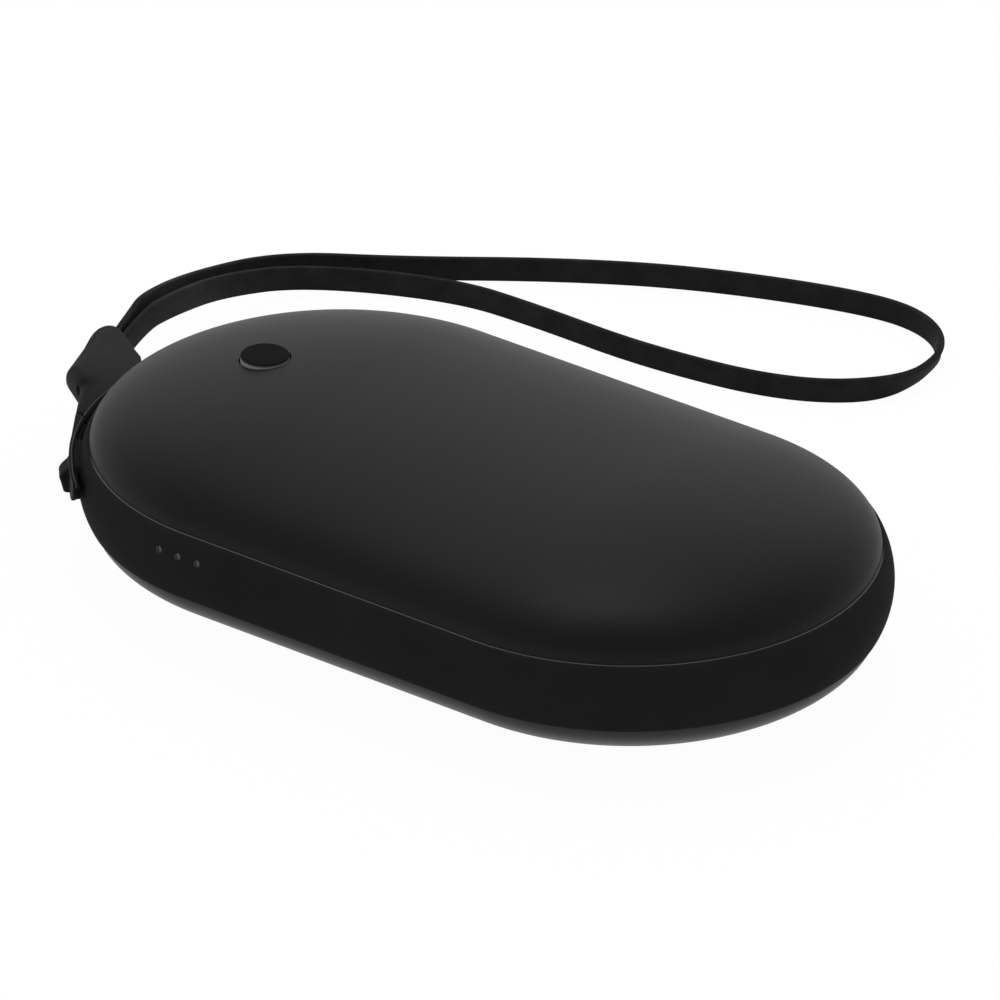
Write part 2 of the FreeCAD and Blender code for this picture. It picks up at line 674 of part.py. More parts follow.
def cover_root():
    """Rib that makes the strip thicker outside, from the hinge down to nothing."""
    corners = [end_point(HINGE_ANGLE, STRIP_MIDDLE), end_point(HINGE_ANGLE, STRIP_OUTER + ROOT_PROUD),
               end_point(ROOT_END_ANGLE, STRIP_OUTER), end_point(ROOT_END_ANGLE, STRIP_MIDDLE)]
    outline = Part.makePolygon([V(x, y, STRIP_LOW) for x, y in corners + corners[:1]])
    return Part.Face(outline).extrude(UP * STRIP_HEIGHT)


def cover_plug():
    width = SOCKET_WIDTH + 2 * (SOCKET_CLEARANCE - PLUG_CLEARANCE)
    height = SOCKET_HEIGHT + 2 * (SOCKET_CLEARANCE - PLUG_CLEARANCE)
    plug = slot_bar(width, height, -STRIP_OUTER, PLUG_REACH - BAND_RADIUS)
    return at_end(plug.common(Part.makeCylinder(STRIP_MIDDLE, STRIP_TOP)), PORT_ANGLE)


def cover_nub():
    """Finger nub near the strip's free end, proudest at its top and round on its outer edges."""
    inner, top = -STRIP_MIDDLE, STRIP_TOP - NUB_DROP
    side = [V(inner, 0, top), V(-STRIP_OUTER - NUB_PROUD, 0, top),
            V(-STRIP_OUTER - NUB_FOOT, 0, STRIP_LOW), V(inner, 0, STRIP_LOW)]
    nub = Part.Face(Part.makePolygon(side + side[:1])).extrude(V(0, NUB_LENGTH, 0))
    nub.translate(V(0, -NUB_LENGTH / 2, 0))
    return at_end(round_edges(nub, NUB_ROUND, lambda p: p.x < inner - TINY), NUB_ANGLE)


def hinge_rod(radius):
    x, y = end_point(HINGE_ANGLE, HINGE_RADIUS)
    return rod(radius, (x, y, STRIP_LOW), (x, y, STRIP_TOP))


def port_cover():
    cover = cover_strip().fuse(cover_root())
    cover = cover.cut(at_end(end_wedge(HINGE_ANGLE - JOINT_ANGLE, FOOT_END_ANGLE), 0))
    cover = cover.fuse(hinge_rod(KNUCKLE_RADIUS))
    return cover.fuse(cover_plug()).fuse(cover_nub()).removeSplitter()


def holder_foot():
    """Curved foot of the strap holder on the band, from the hinge past the sleeve."""
    return at_end(end_wedge(HINGE_ANGLE, FOOT_END_ANGLE).common(strip_wall()), 0)


def holder_post():
    """Post through the band, with a head inside that keeps the holder on."""
    inner = BAND_INNER - POST_CLEARANCE
    post = rod(POST_RADIUS, (-STRIP_MIDDLE, 0, PORT_Z), (-inner, 0, PORT_Z))
    head = rod(POST_RADIUS + POST_HEAD, (-inner, 0, PORT_Z), (-inner + POST_HEAD_THICK, 0, PORT_Z))
    return at_end(post.fuse(head), POST_ANGLE)


def sleeve_section(along, inner, outer, inner_round, outer_round):
    """Rectangle with round corners across the strap holder, at a distance along its axis."""
    block = box((-outer, along, STRIP_LOW), (-inner, along + HOLDER_WIDTH, STRIP_TOP))
    for radius, side in ((inner_round, -inner), (outer_round, -outer)):
        block = round_edges(block, radius, lambda p: abs(p.x - side) < TINY and
                            abs(p.y - along - HOLDER_WIDTH / 2) < TINY and abs(p.z - PORT_Z) > TINY)
    face = [f for f in block.Faces if abs(f.CenterOfMass.y - along) < TINY][0]
    return face.OuterWire


def holder_sleeve():
    """Soft sleeve that grows from a neck on the foot and ends in a rounded mouth."""
    stations = (
        (NECK_START, BAND_RADIUS, STRIP_OUTER + NECK_PROUD, NECK_CORNER, NECK_CORNER),
        (SHOULDER_START, HOLDER_INNER, HOLDER_INNER + SHOULDER_WIDTH, INNER_ROUND, SHOULDER_ROUND),
        (HOLDER_START, HOLDER_INNER, HOLDER_OUTER, INNER_ROUND, HOLDER_ROUND),
        (HOLDER_END - HOLDER_TAPER, HOLDER_INNER, HOLDER_OUTER, INNER_ROUND, HOLDER_ROUND),
        (HOLDER_END, HOLDER_INNER + MOUTH_INSET, HOLDER_OUTER - HOLDER_INSET, INNER_ROUND, HOLDER_ROUND),
    )
    return Part.makeLoft([sleeve_section(*station) for station in stations], True, True)


def holder_web():
    """Fill between the sleeve and the band, which runs out along the sleeve's inner side."""
    outer = HOLDER_INNER + WEB_WIDTH
    plan = ((STRIP_OUTER, NECK_START), (outer, SHOULDER_START), (outer, WEB_END), (HOLDER_INNER, WEB_END),
            (BAND_INNER, WEB_ROOT_END), (BAND_INNER, NECK_START))
    corners = [V(-radius, along, STRIP_LOW) for radius, along in plan]
    return Part.Face(Part.makePolygon(corners + corners[:1])).extrude(UP * STRIP_HEIGHT)


def strap_holder():
    """Foot, post and sleeve in one soft piece, with a pocket for the strap and an eye."""
    half_r = (STRAND_PITCH + STRAP_THICK) / 2 + POCKET_CLEARANCE
    half_z = STRAP_WIDTH / 2 + POCKET_CLEARANCE
    pocket = box((-HOLDER_MIDDLE - half_r, POCKET_FLOOR, PORT_Z - half_z),
                 (-HOLDER_MIDDLE + half_r, HOLDER_END, PORT_Z + half_z))
    eye_z = PORT_Z + EYE_RISE
    eye = rod(EYE_RADIUS, (-HOLDER_MIDDLE, NECK_START, eye_z), (-HOLDER_MIDDLE, EYE_ALONG, eye_z))
    sleeve = holder_sleeve().cut(pocket).cut(eye).fuse(holder_web()).cut(band_room())
    sleeve = at_end(sleeve, HOLDER_ANGLE).cut(at_end(end_wedge(STRIP_END_ANGLE, HINGE_ANGLE), 0))
    sleeve = sleeve.fuse(holder_foot()).fuse(holder_post())
    return sleeve.cut(hinge_rod(KNUCKLE_RADIUS + HINGE_GAP)).removeSplitter()


def rounded_route(points, bend_share=0.45):
    """Runs and tangent arcs through a route, as lists of points with the side direction at each."""
    steps = []
    start = points[0]
    for before, corner, after in zip(points, points[1:], points[2:]):
        run_in, run_out = corner - before, after - corner
        turn = run_in.getAngle(run_out)
        reach = bend_share * min(run_in.Length, run_out.Length)
        way_in, way_out = run_in.normalize(), run_out.normalize()
        first, last = corner - way_in * reach, corner + way_out * reach
        side_in, side_out = V(-way_in.y, way_in.x, 0), V(-way_out.y, way_out.x, 0)
        radius = reach / math.tan(turn / 2)
        left_turn = 1 if way_in.cross(way_out).z > 0 else -1
        side_mid = (side_in + side_out).normalize()
        centre = first + side_in * (left_turn * radius)
        middle = centre - side_mid * (left_turn * radius)
        steps.append([(start, side_in), (first, side_in)])
        steps.append([(first, side_in), (middle, side_mid), (last, side_out)])
        print("bend radius", round(radius, 1), "turn", round(math.degrees(turn)))
        start = last
    side = steps[-1][-1][1]
    steps.append([(start, side), (points[-1], side)])
    return steps


def ribbon(points, width):
    """Flat face of one width along a route."""
    steps = rounded_route(points)
    edges = []
    for side_of in (1, -1):
        for step in steps:
            ends = [point + side * (side_of * width / 2) for point, side in step]
            edges.append(Part.Arc(*ends).toShape() if len(ends) == 3 else Part.LineSegment(*ends).toShape())
    for point, side in (steps[0][0], steps[-1][-1]):
        edges.append(Part.LineSegment(point + side * (width / 2), point - side * (width / 2)).toShape())
    return Part.Face(Part.Wire(Part.__sortEdges__(edges)))


def wrist_strap():
    """Plan of the loop, cut to the strap's width along its drop from the holder to the table."""
    outer, inner = HOLDER_MIDDLE + STRAND_PITCH / 2, HOLDER_MIDDLE - STRAND_PITCH / 2
    lead = POCKET_FLOOR + STRAP_LEAD
    out = [end_point(HOLDER_ANGLE, outer, along) for along in (POCKET_FLOOR, lead)]
    back = [end_point(HOLDER_ANGLE, inner, along) for along in (lead, POCKET_FLOOR)]
    route = [V(x, y, 0) for x, y in out + list(STRAP_LOOP) + back]
    plan = ribbon(route, STRAP_THICK).extrude(UP * TOP_SEAM)
    far = max(point.y for point in route) + STRAP_WIDTH
    near = min(point.y for point in route) - STRAP_WIDTH
    drop = [V(near, PORT_Z, 0), V(STRAP_DROP_START_Y, PORT_Z, 0),
            V(STRAP_DROP_END_Y, STRAP_FLOOR_Z, 0), V(far, STRAP_FLOOR_Z, 0)]
    side = ribbon(drop, STRAP_WIDTH)
    side.rotate(V(0, 0, 0), V(1, 1, 1), 120)
    reach = 2 * (HALF_STRAIGHT + BAND_RADIUS)
    side.translate(V(-reach, 0, 0))
    strap = plan.common(side.extrude(V(2 * reach, 0, 0)))
    length = sum(math.dist(a, b) for a, b in zip(route, route[1:]))
    section = STRAP_WIDTH * STRAP_THICK
    print("strap runs", round(length, 1), "volume over section", round(strap.Volume / section, 1))
    return strap


NODES = (
    middle_band, top_shell, bottom_shell, inner_tray, battery_cell, battery_tabs, circuit_board, board_screws,
    control_chip, power_coil, usb_socket, socket_tongue, tact_switch, switch_plunger, power_button,
    button_guide, light_guide, status_lamps, top_heater, bottom_heater, top_foam, bottom_foam, heat_sensor,
    strap_holder, port_cover, wrist_strap,
)
for node in NODES:
    shape = node()
    shape.exportStep("parts/" + node.__name__ + ".step")
    print(node.__name__, len(shape.Solids), shape.isValid(), round(shape.Volume, 1))
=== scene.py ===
# %% [markdown]
# # A rechargeable hand warmer
# The imported part is the fixed frame: every piece below is laid over a node of it, in metres, in the
# same place. This cell loads the frame, and a helper reads the box of any of its nodes.

# %% Load the frame
import math
import bmesh
import bpy
from mathutils import Matrix, Quaternion, Vector


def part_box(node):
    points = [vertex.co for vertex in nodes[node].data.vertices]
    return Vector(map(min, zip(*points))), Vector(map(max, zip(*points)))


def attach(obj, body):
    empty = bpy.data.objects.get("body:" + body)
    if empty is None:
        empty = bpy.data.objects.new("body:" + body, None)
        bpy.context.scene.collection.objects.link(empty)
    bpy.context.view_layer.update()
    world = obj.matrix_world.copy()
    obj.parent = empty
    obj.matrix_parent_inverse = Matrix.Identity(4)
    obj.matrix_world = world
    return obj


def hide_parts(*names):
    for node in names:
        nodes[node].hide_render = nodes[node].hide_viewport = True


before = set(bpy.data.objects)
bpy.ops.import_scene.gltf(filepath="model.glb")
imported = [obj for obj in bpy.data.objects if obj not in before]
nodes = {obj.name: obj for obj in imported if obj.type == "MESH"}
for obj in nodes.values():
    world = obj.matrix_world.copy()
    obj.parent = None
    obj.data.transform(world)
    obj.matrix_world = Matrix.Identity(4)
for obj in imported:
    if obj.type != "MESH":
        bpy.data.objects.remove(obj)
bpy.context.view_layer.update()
MM = 0.001
scene = bpy.context.scene
scene.view_settings.view_transform = "Standard"
print("frame loaded:", len(nodes), "nodes")

# %% [markdown]
# ## Sizes that every piece shares
# The band is an oval of two straights and two half circles, and its box gives both sizes: the width
# is twice the radius, and the rest of the length is the straight. The seams are the band's own top
# and bottom, so the shells and the lights can be placed from them without a second set of numbers.

# %% Measure the case
band_low, band_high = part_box("middle_band")
BAND_RADIUS = band_high.y
HALF_STRAIGHT = band_high.x - BAND_RADIUS
LOW_SEAM, TOP_SEAM = band_low.z, band_high.z
MIDDLE = (LOW_SEAM + TOP_SEAM) / 2
RIM_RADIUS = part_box("top_shell")[1].y
DOME_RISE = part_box("top_shell")[1].z - TOP_SEAM
SEAM_STEP = 0.4 * MM
SHELL_WALL = 1.2 * MM
print("oval %.1f by %.1f mm, seams at %.1f and %.1f mm" % (
    2 * (HALF_STRAIGHT + BAND_RADIUS) / MM, 2 * BAND_RADIUS / MM, LOW_SEAM / MM, TOP_SEAM / MM))

# %% [markdown]
# ## The camera
# The photograph was taken from far away with a long lens, a little above the table. The numbers here
# were found by fitting the oval seam: an azimuth, an elevation, a distance, a focal length, and a small
# shift because the warmer doesn't sit in the middle of the frame.

# %% Place the camera
CAMERA_AZIMUTH = math.radians(37.49)
CAMERA_ELEVATION = math.radians(28.18)
CAMERA_DISTANCE = 1.731
CAMERA_LENS = 545.4
CAMERA_SENSOR = 36
CAMERA_SHIFT = (0.01655, -0.00955)


def make_camera():
    back = Vector((math.sin(CAMERA_AZIMUTH) * math.cos(CAMERA_ELEVATION),
                   -math.cos(CAMERA_AZIMUTH) * math.cos(CAMERA_ELEVATION), math.sin(CAMERA_ELEVATION)))
    right = Vector((math.cos(CAMERA_AZIMUTH), math.sin(CAMERA_AZIMUTH), 0))
    up = back.cross(right)
    data = bpy.data.cameras.new("camera")
    data.lens = CAMERA_LENS
    data.sensor_width = CAMERA_SENSOR
    data.shift_x, data.shift_y = CAMERA_SHIFT
    camera = bpy.data.objects.new("camera", data)
    turn = Matrix((right, up, back)).transposed().to_4x4()
    camera.matrix_world = Matrix.Translation(Vector((0, 0, TOP_SEAM)) + back * CAMERA_DISTANCE) @ turn
    scene.collection.objects.link(camera)
    scene.camera = camera


make_camera()
print("camera ready")

# %% [markdown]
# ## Node helpers
# Materials and node trees are written out node by node, and a few small helpers keep that readable. One
# adds a node and sets its properties, and one fills its inputs in order, with links or with plain values.
# The others are the nodes used most: arithmetic, a mapped range and a mix of two colours.

# %% Write the node helpers


def add(tree, kind, **settings):
    node = tree.nodes.new(kind)
    for name, value in settings.items():
        setattr(node, name, value)
    return node


def fill(tree, socket, value):
    """Link a socket to another one, or set it to a plain value."""
    if isinstance(value, bpy.types.NodeSocket):
        tree.links.new(value, socket)
    else:
        socket.default_value = value


def feed(tree, target, *values):
    """Fill a node's inputs in order."""
    for socket, value in zip(target.inputs, values):
        fill(tree, socket, value)
    return target


def calc(tree, operation, *values):
    return feed(tree, add(tree, "ShaderNodeMath", operation=operation), *values).outputs[0]


def ranged(tree, value, low, high, start=0.0, end=1.0):
    """Map a value from one range to another, eased and kept inside."""
    node = add(tree, "ShaderNodeMapRange", interpolation_type="SMOOTHSTEP")
    return feed(tree, node, value, low, high, start, end).outputs["Result"]


def blended(tree, share, below, above):
    """Mix two colours by a share."""
    mix = add(tree, "ShaderNodeMix", data_type="RGBA")
    fill(tree, mix.inputs["Factor"], share)
    colours = [socket for socket in mix.inputs if socket.type == "RGBA"]
    for socket, value in zip(colours, (below, above)):
        fill(tree, socket, value)
    return [socket for socket in mix.outputs if socket.type == "RGBA"][0]


print("node helpers ready")

# %% [markdown]
# ## One recipe for every surface
# Each finish is a Principled shader whose colour, roughness and bump come from noise on Object
# coordinates, so the grain stays on the piece when it moves. A tint can be laid over a finish through a
# mask, which is how single places get painted highlights and painted shade.

# %% Write the finish recipe
NOISE_LOW, NOISE_HIGH = 0.3, 0.7
PATCH_DETAIL, GRAIN_DETAIL = 2.0, 3.0


def noise(tree, place, scale, detail):
    node = add(tree, "ShaderNodeTexNoise")
    fill(tree, node.inputs["Vector"], place)
    fill(tree, node.inputs["Scale"], scale)
    fill(tree, node.inputs["Detail"], detail)
    return node.outputs["Fac"]


def spread(tree, value, low, high):
    """Stretch a noise value, which stays near one half, over a range."""
    node = add(tree, "ShaderNodeMapRange")
    return feed(tree, node, value, NOISE_LOW, NOISE_HIGH, low, high).outputs["Result"]


def finish(name, dark, light, patch, grain, rough, bump, specular=0.5, metallic=0.0):
    """A moulded or coated surface: large soft patches in the colour, fine grain in the height."""
    made = bpy.data.materials.new(name)
    made.use_nodes = True
    tree = made.node_tree
    shader = tree.nodes["Principled BSDF"]
    place = add(tree, "ShaderNodeTexCoord").outputs["Object"]
    patches = spread(tree, noise(tree, place, 1 / patch, PATCH_DETAIL), 0, 1)
    fill(tree, shader.inputs["Base Color"], blended(tree, patches, (*dark, 1), (*light, 1)))
    fine = noise(tree, place, 1 / grain, GRAIN_DETAIL)
    fill(tree, shader.inputs["Roughness"], spread(tree, fine, *rough))
    relief = add(tree, "ShaderNodeBump")
    fill(tree, relief.inputs["Distance"], bump)
    fill(tree, relief.inputs["Strength"], 1.0)
    fill(tree, relief.inputs["Height"], fine)
    fill(tree, shader.inputs["Normal"], relief.outputs["Normal"])
    fill(tree, shader.inputs["Specular IOR Level"], specular)
    fill(tree, shader.inputs["Metallic"], metallic)
    return made


def places(made):
    """The Object coordinates that a finish already uses, whole and in parts."""
    tree = made.node_tree
    whole = [n for n in tree.nodes if n.type == "TEX_COORD"][0].outputs["Object"]
    return whole, feed(tree, add(tree, "ShaderNodeSeparateXYZ"), whole).outputs


def tinted(made, mask, colour):
    """Lay a colour over a finish through a mask."""
    tree = made.node_tree
    base = tree.nodes["Principled BSDF"].inputs["Base Color"]
    fill(tree, base, blended(tree, mask, base.links[0].from_socket, (*colour, 1)))


print("finish recipe ready")

# %% [markdown]
# ## Finishes
# Nearly everything outside is black, but not the same black. The top shell has a soft matte coat, the
# bottom shell a lighter and shinier one, the band is dull moulded plastic, and the strap is thin grained
# leather. The differences are in how bright and how rough each one is, and in the size of its grain.

# %% Mix the outside finishes
COOL = 1.02
LEATHER_CELL = 0.42 * MM


def grey(value):
    """A grey with a trace of blue."""
    return (value, value, value * COOL)


shell_coat = finish("shell_coat", grey(0.012), grey(0.014), 18 * MM, 0.16 * MM, (0.40, 0.48),
                    0.004 * MM, 0.11)
base_coat = finish("base_coat", grey(0.018), grey(0.022), 18 * MM, 0.16 * MM, (0.40, 0.48),
                   0.004 * MM, 0.3)
band_plastic = finish("band_plastic", grey(0.020), grey(0.024), 9 * MM, 0.2 * MM, (0.75, 0.85),
                      0.006 * MM, 0.03)
lens_plastic = finish("lens_plastic", grey(0.022), grey(0.028), 0.8 * MM, 0.1 * MM, (0.25, 0.35),
                      0.001 * MM, 0.1)
strap_leather = finish("strap_leather", grey(0.018), grey(0.028), 3 * MM, 0.22 * MM, (0.7, 0.85),
                       0.010 * MM, 0.08)


def add_leather_cells():
    """Add cells of grain to the leather's height."""
    tree = strap_leather.node_tree
    cells = add(tree, "ShaderNodeTexVoronoi", feature="DISTANCE_TO_EDGE")
    fill(tree, cells.inputs["Vector"], places(strap_leather)[0])
    fill(tree, cells.inputs["Scale"], 1 / LEATHER_CELL)
    height = [n for n in tree.nodes if n.type == "BUMP"][0].inputs["Height"]
    fill(tree, height, calc(tree, "ADD", height.links[0].from_socket, cells.outputs["Distance"]))


add_leather_cells()
print("outside finishes mixed")

# %% [markdown]
# The band stands out a little past the shell, and in the photograph a thin light line runs along that
# step at the front. Here the line is a painted highlight: close to the shell's rim, at the very top of the
# band, and only where the band faces the front.

# %% Paint the highlight on the seam
SEAM_LINE = 0.21 * MM
SEAM_BLUR = 0.04 * MM
SEAM_LINE_START, SEAM_LINE_FULL = 0.08 * MM, 0.02 * MM
FRONT_SLANT = -0.44
FRONT_START, FRONT_FULL = -2 * MM, -7 * MM
SEAM_HIGHLIGHT = 0.14


def highlight_on_seam():
    """Paint a highlight on the step beside the shell where it faces the front."""
    tree = band_plastic.node_tree
    x, y, z = places(band_plastic)[1]
    past = calc(tree, "MAXIMUM", calc(tree, "SUBTRACT", calc(tree, "ABSOLUTE", x), HALF_STRAIGHT), 0.0)
    reach = calc(tree, "SQRT", calc(tree, "MULTIPLY_ADD", past, past, calc(tree, "MULTIPLY", y, y)))
    edge = RIM_RADIUS + SEAM_LINE
    inner = ranged(tree, reach, edge + SEAM_BLUR, edge - SEAM_BLUR)
    high = ranged(tree, z, TOP_SEAM - SEAM_LINE_START, TOP_SEAM - SEAM_LINE_FULL)
    front = ranged(tree, calc(tree, "MULTIPLY_ADD", x, FRONT_SLANT, y), FRONT_START, FRONT_FULL)
    mask = calc(tree, "MULTIPLY", calc(tree, "MULTIPLY", inner, high), front)
    # The tint is a painted highlight along the step.
    tinted(band_plastic, mask, grey(SEAM_HIGHLIGHT))


highlight_on_seam()
print("seam line drawn")

# %% [markdown]
# ## Mesh helpers
# Several pieces start as rings of points that are joined by faces. The mesh is then cleaned, shaded smooth
# apart from its sharp edges, and set to ride on a body of the part. Two short rules help to bend things
# gently: a ramp from 0 to 1, and the same ramp with soft ends.

# %% Write the mesh helpers
MERGE_DISTANCE = 0.002 * MM
SHARP_ANGLE = math.radians(38)


def mesh_from(bm, name):
    """Merge doubles, point the faces outwards and hand the mesh over."""
    bmesh.ops.remove_doubles(bm, verts=bm.verts, dist=MERGE_DISTANCE)
    bmesh.ops.recalc_face_normals(bm, faces=bm.faces)
    data = bpy.data.meshes.new(name)
    bm.to_mesh(data)
    bm.free()
    return data


def bridge(bm, rings):
    """Join each ring of points to the next one."""
    for ring, following in zip(rings, rings[1:]):
        for i in range(len(ring)):
            j = (i + 1) % len(ring)
            bm.faces.new((ring[i], ring[j], following[j], following[i]))


def capped(bm, rings):
    """Join the rings and close both ends."""
    bm.faces.new(rings[0])
    bm.faces.new(rings[-1])
    bridge(bm, rings)


def add_piece(name, mesh_data, material, body):
    """Put a finished mesh in the scene, smooth apart from its sharp edges, riding on a body."""
    mesh_data.materials.clear()
    mesh_data.materials.append(material)
    mesh_data.shade_smooth()
    mesh_data.set_sharp_from_angle(angle=SHARP_ANGLE)
    piece = bpy.data.objects.new(name, mesh_data)
    scene.collection.objects.link(piece)
    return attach(piece, body)


def ramp(value, start, end):
    return min(max((value - start) / (end - start), 0), 1)


def eased(share):
    return share * share * (3 - 2 * share)


print("mesh helpers ready")

# %% [markdown]
# ## The strap's route
# The strap leaves the holder, drops to the table, runs out in a long loop and comes back beside itself.
# The points are control points of a smooth curve, in millimetres, and the strip follows points that are
# read from that curve.

# %% Read the strap's route
STRAP_ROUTE = (
    (-59.01, 3.95, 11.4), (-62.67, 14.01, 11.4), (-64.1, 17.8, 11.4), (-70.1, 34.1, 5.6),
    (-69.9, 51.0, 1.52), (-57.2, 58.9, 1.52), (-42.1, 70.1, 1.52), (-27.7, 78.4, 1.52),
    (-9.5, 85.0, 1.52), (0.2, 85.7, 1.52), (7.1, 80.75, 1.52), (7.95, 69.6, 1.52),
    (-2.2, 61.4, 1.52), (-20.8, 58.4, 1.52), (-37.2, 58.8, 1.52), (-49.1, 58.2, 1.52),
    (-65.6, 50.3, 1.52), (-68.5, 38.1, 4.2), (-63.5, 22.7, 9.7), (-61.54, 14.42, 11.4),
    (-57.88, 4.36, 11.4),
)
ROUTE_STEPS = 14
ROUTE_ORDER = 3


def route_points(route):
    """Points along a smooth curve that has the route as its control points."""
    curve = bpy.data.curves.new("strap_route", "CURVE")
    curve.dimensions = "3D"
    spline = curve.splines.new("NURBS")
    spline.points.add(len(route) - 1)
    for point, place in zip(spline.points, route):
        point.co = (*(Vector(place) * MM), 1)
    spline.order_u = ROUTE_ORDER
    spline.use_endpoint_u = True
    curve.resolution_u = ROUTE_STEPS
    holder = bpy.data.objects.new("strap_route", curve)
    scene.collection.objects.link(holder)
    line = bpy.data.meshes.new_from_object(holder)
    points = [v.co.copy() for v in line.vertices]
    bpy.data.objects.remove(holder)
    bpy.data.meshes.remove(line)
    return points


strap_points = route_points(STRAP_ROUTE)
strap_run = sum((b - a).length for a, b in zip(strap_points, strap_points[1:]))
print("strap %.0f mm along its middle" % (strap_run / MM))

# %% [markdown]
# ## The strap
# The strap is a thin flat band that stands on its edge, with a rounded section. It stays upright all the
# way, apart from the tip of the loop: there the turn is tight, and the band leans outwards.

# %% Lay the strap
STRAP_WIDTH = 3.0 * MM
STRAP_THICK = 0.8 * MM
STRAP_EDGE = 0.22 * MM
EDGE_STEPS = 3
TIP_LEAN = math.radians(28)
TIP_SIDE = (0, 4 * MM)
TIP_START = (66 * MM, 74 * MM)
TIP_END = (84 * MM, 77 * MM)


def rounded_section(width, thick, edge):
    """Outline of a flat strip with rounded edges, as (across, up) pairs."""
    outline = []
    for across, up, start in ((1, 1, 0), (-1, 1, 90), (-1, -1, 180), (1, -1, 270)):
        centre = (across * (thick / 2 - edge), up * (width / 2 - edge))
        for step in range(EDGE_STEPS + 1):
            angle = math.radians(start + 90 * step / EDGE_STEPS)
            outline.append((centre[0] + edge * math.cos(angle), centre[1] + edge * math.sin(angle)))
    return outline


def lean_at(point):
    """Angle by which the strap leans out, at the tip of its loop alone."""
    beside = eased(ramp(point.x, *TIP_SIDE))
    return TIP_LEAN * beside * eased(ramp(point.y, *TIP_START)) * eased(ramp(point.y, *TIP_END))


def strip_along(points, outline, name):
    """Sweep a section along points, upright apart from its lean, with both ends closed."""
    bm = bmesh.new()
    rings = []
    for index, point in enumerate(points):
        ahead = points[min(index + 1, len(points) - 1)] - points[max(index - 1, 0)]
        across = ahead.cross(Vector((0, 0, 1))).normalized()
        up = across.cross(ahead).normalized()
        turn = Quaternion(ahead.normalized(), -lean_at(point))
        across, up = turn @ across, turn @ up
        rings.append([bm.verts.new(point + across * a + up * b) for a, b in outline])
    capped(bm, rings)
    return mesh_from(bm, name)


strap_section = rounded_section(STRAP_WIDTH, STRAP_THICK, STRAP_EDGE)
strap = add_piece("strap", strip_along(strap_points, strap_section, "strap"), strap_leather, "case")
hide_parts("wrist_strap")
print("strap:", len(strap.data.polygons), "faces")

# %% [markdown]
# ## Shapes made by rule
# The shells and the lights follow plain rules, so Geometry Nodes trees make them. These helpers start a
# tree with named inputs, read and set the places of its points, and end it with real geometry that has
# its material. The last one runs a tree once and keeps what it made as a plain mesh.

# %% Write the tree helpers


def tree_with(name, inputs):
    tree = bpy.data.node_groups.new(name, "GeometryNodeTree")
    tree.interface.new_socket("Geometry", in_out="OUTPUT", socket_type="NodeSocketGeometry")
    for label, kind in inputs:
        tree.interface.new_socket(label, in_out="INPUT", socket_type=kind)
    entry = add(tree, "NodeGroupInput")
    return tree, {label: entry.outputs[label] for label, kind in inputs}


def point_parts(tree):
    """The place of each point, as three numbers."""
    place = add(tree, "GeometryNodeInputPosition").outputs[0]
    return feed(tree, add(tree, "ShaderNodeSeparateXYZ"), place).outputs


def placed(tree, geometry, *parts):
    """Set the place of each point from three numbers."""
    spot = feed(tree, add(tree, "ShaderNodeCombineXYZ"), *parts)
    moved = add(tree, "GeometryNodeSetPosition")
    tree.links.new(geometry, moved.inputs["Geometry"])
    tree.links.new(spot.outputs[0], moved.inputs["Position"])
    return moved.outputs[0]


def ended(tree, geometry, material):
    """Every tree ends the same way: real geometry with its material."""
    real = add(tree, "GeometryNodeRealizeInstances")
    tree.links.new(geometry, real.inputs[0])
    coated = add(tree, "GeometryNodeSetMaterial")
    tree.links.new(real.outputs[0], coated.inputs["Geometry"])
    tree.links.new(material, coated.inputs["Material"])
    tree.links.new(coated.outputs[0], add(tree, "NodeGroupOutput").inputs[0])
    return tree


def grown(tree, name, values):
    """Run a tree on an empty object and keep the result as a plain mesh."""
    holder = bpy.data.objects.new(name, bpy.data.meshes.new(name))
    scene.collection.objects.link(holder)
    modifier = holder.modifiers.new(name, "NODES")
    modifier.node_group = tree
    for item in tree.interface.items_tree:
        if item.in_out == "INPUT":
            modifier[item.identifier] = values[item.name]
    graph = bpy.context.evaluated_depsgraph_get()
    data = bpy.data.meshes.new_from_object(holder.evaluated_get(graph))
    bpy.data.objects.remove(holder)
    return data


print("tree helpers ready")

# %% [markdown]
# ## The domed shells
# Both shells are pillows: a quarter of an ellipse is carried round the oval, from the rim up to a ridge
# along the middle. A grid gives one number round the oval and one from the ridge to the rim, and the tree
# works out each point. The two long sides meet on the ridge, where their points fall together and are
# merged.

# %% Build the pillow tree
NUMBER, COUNT = "NodeSocketFloat", "NodeSocketInt"


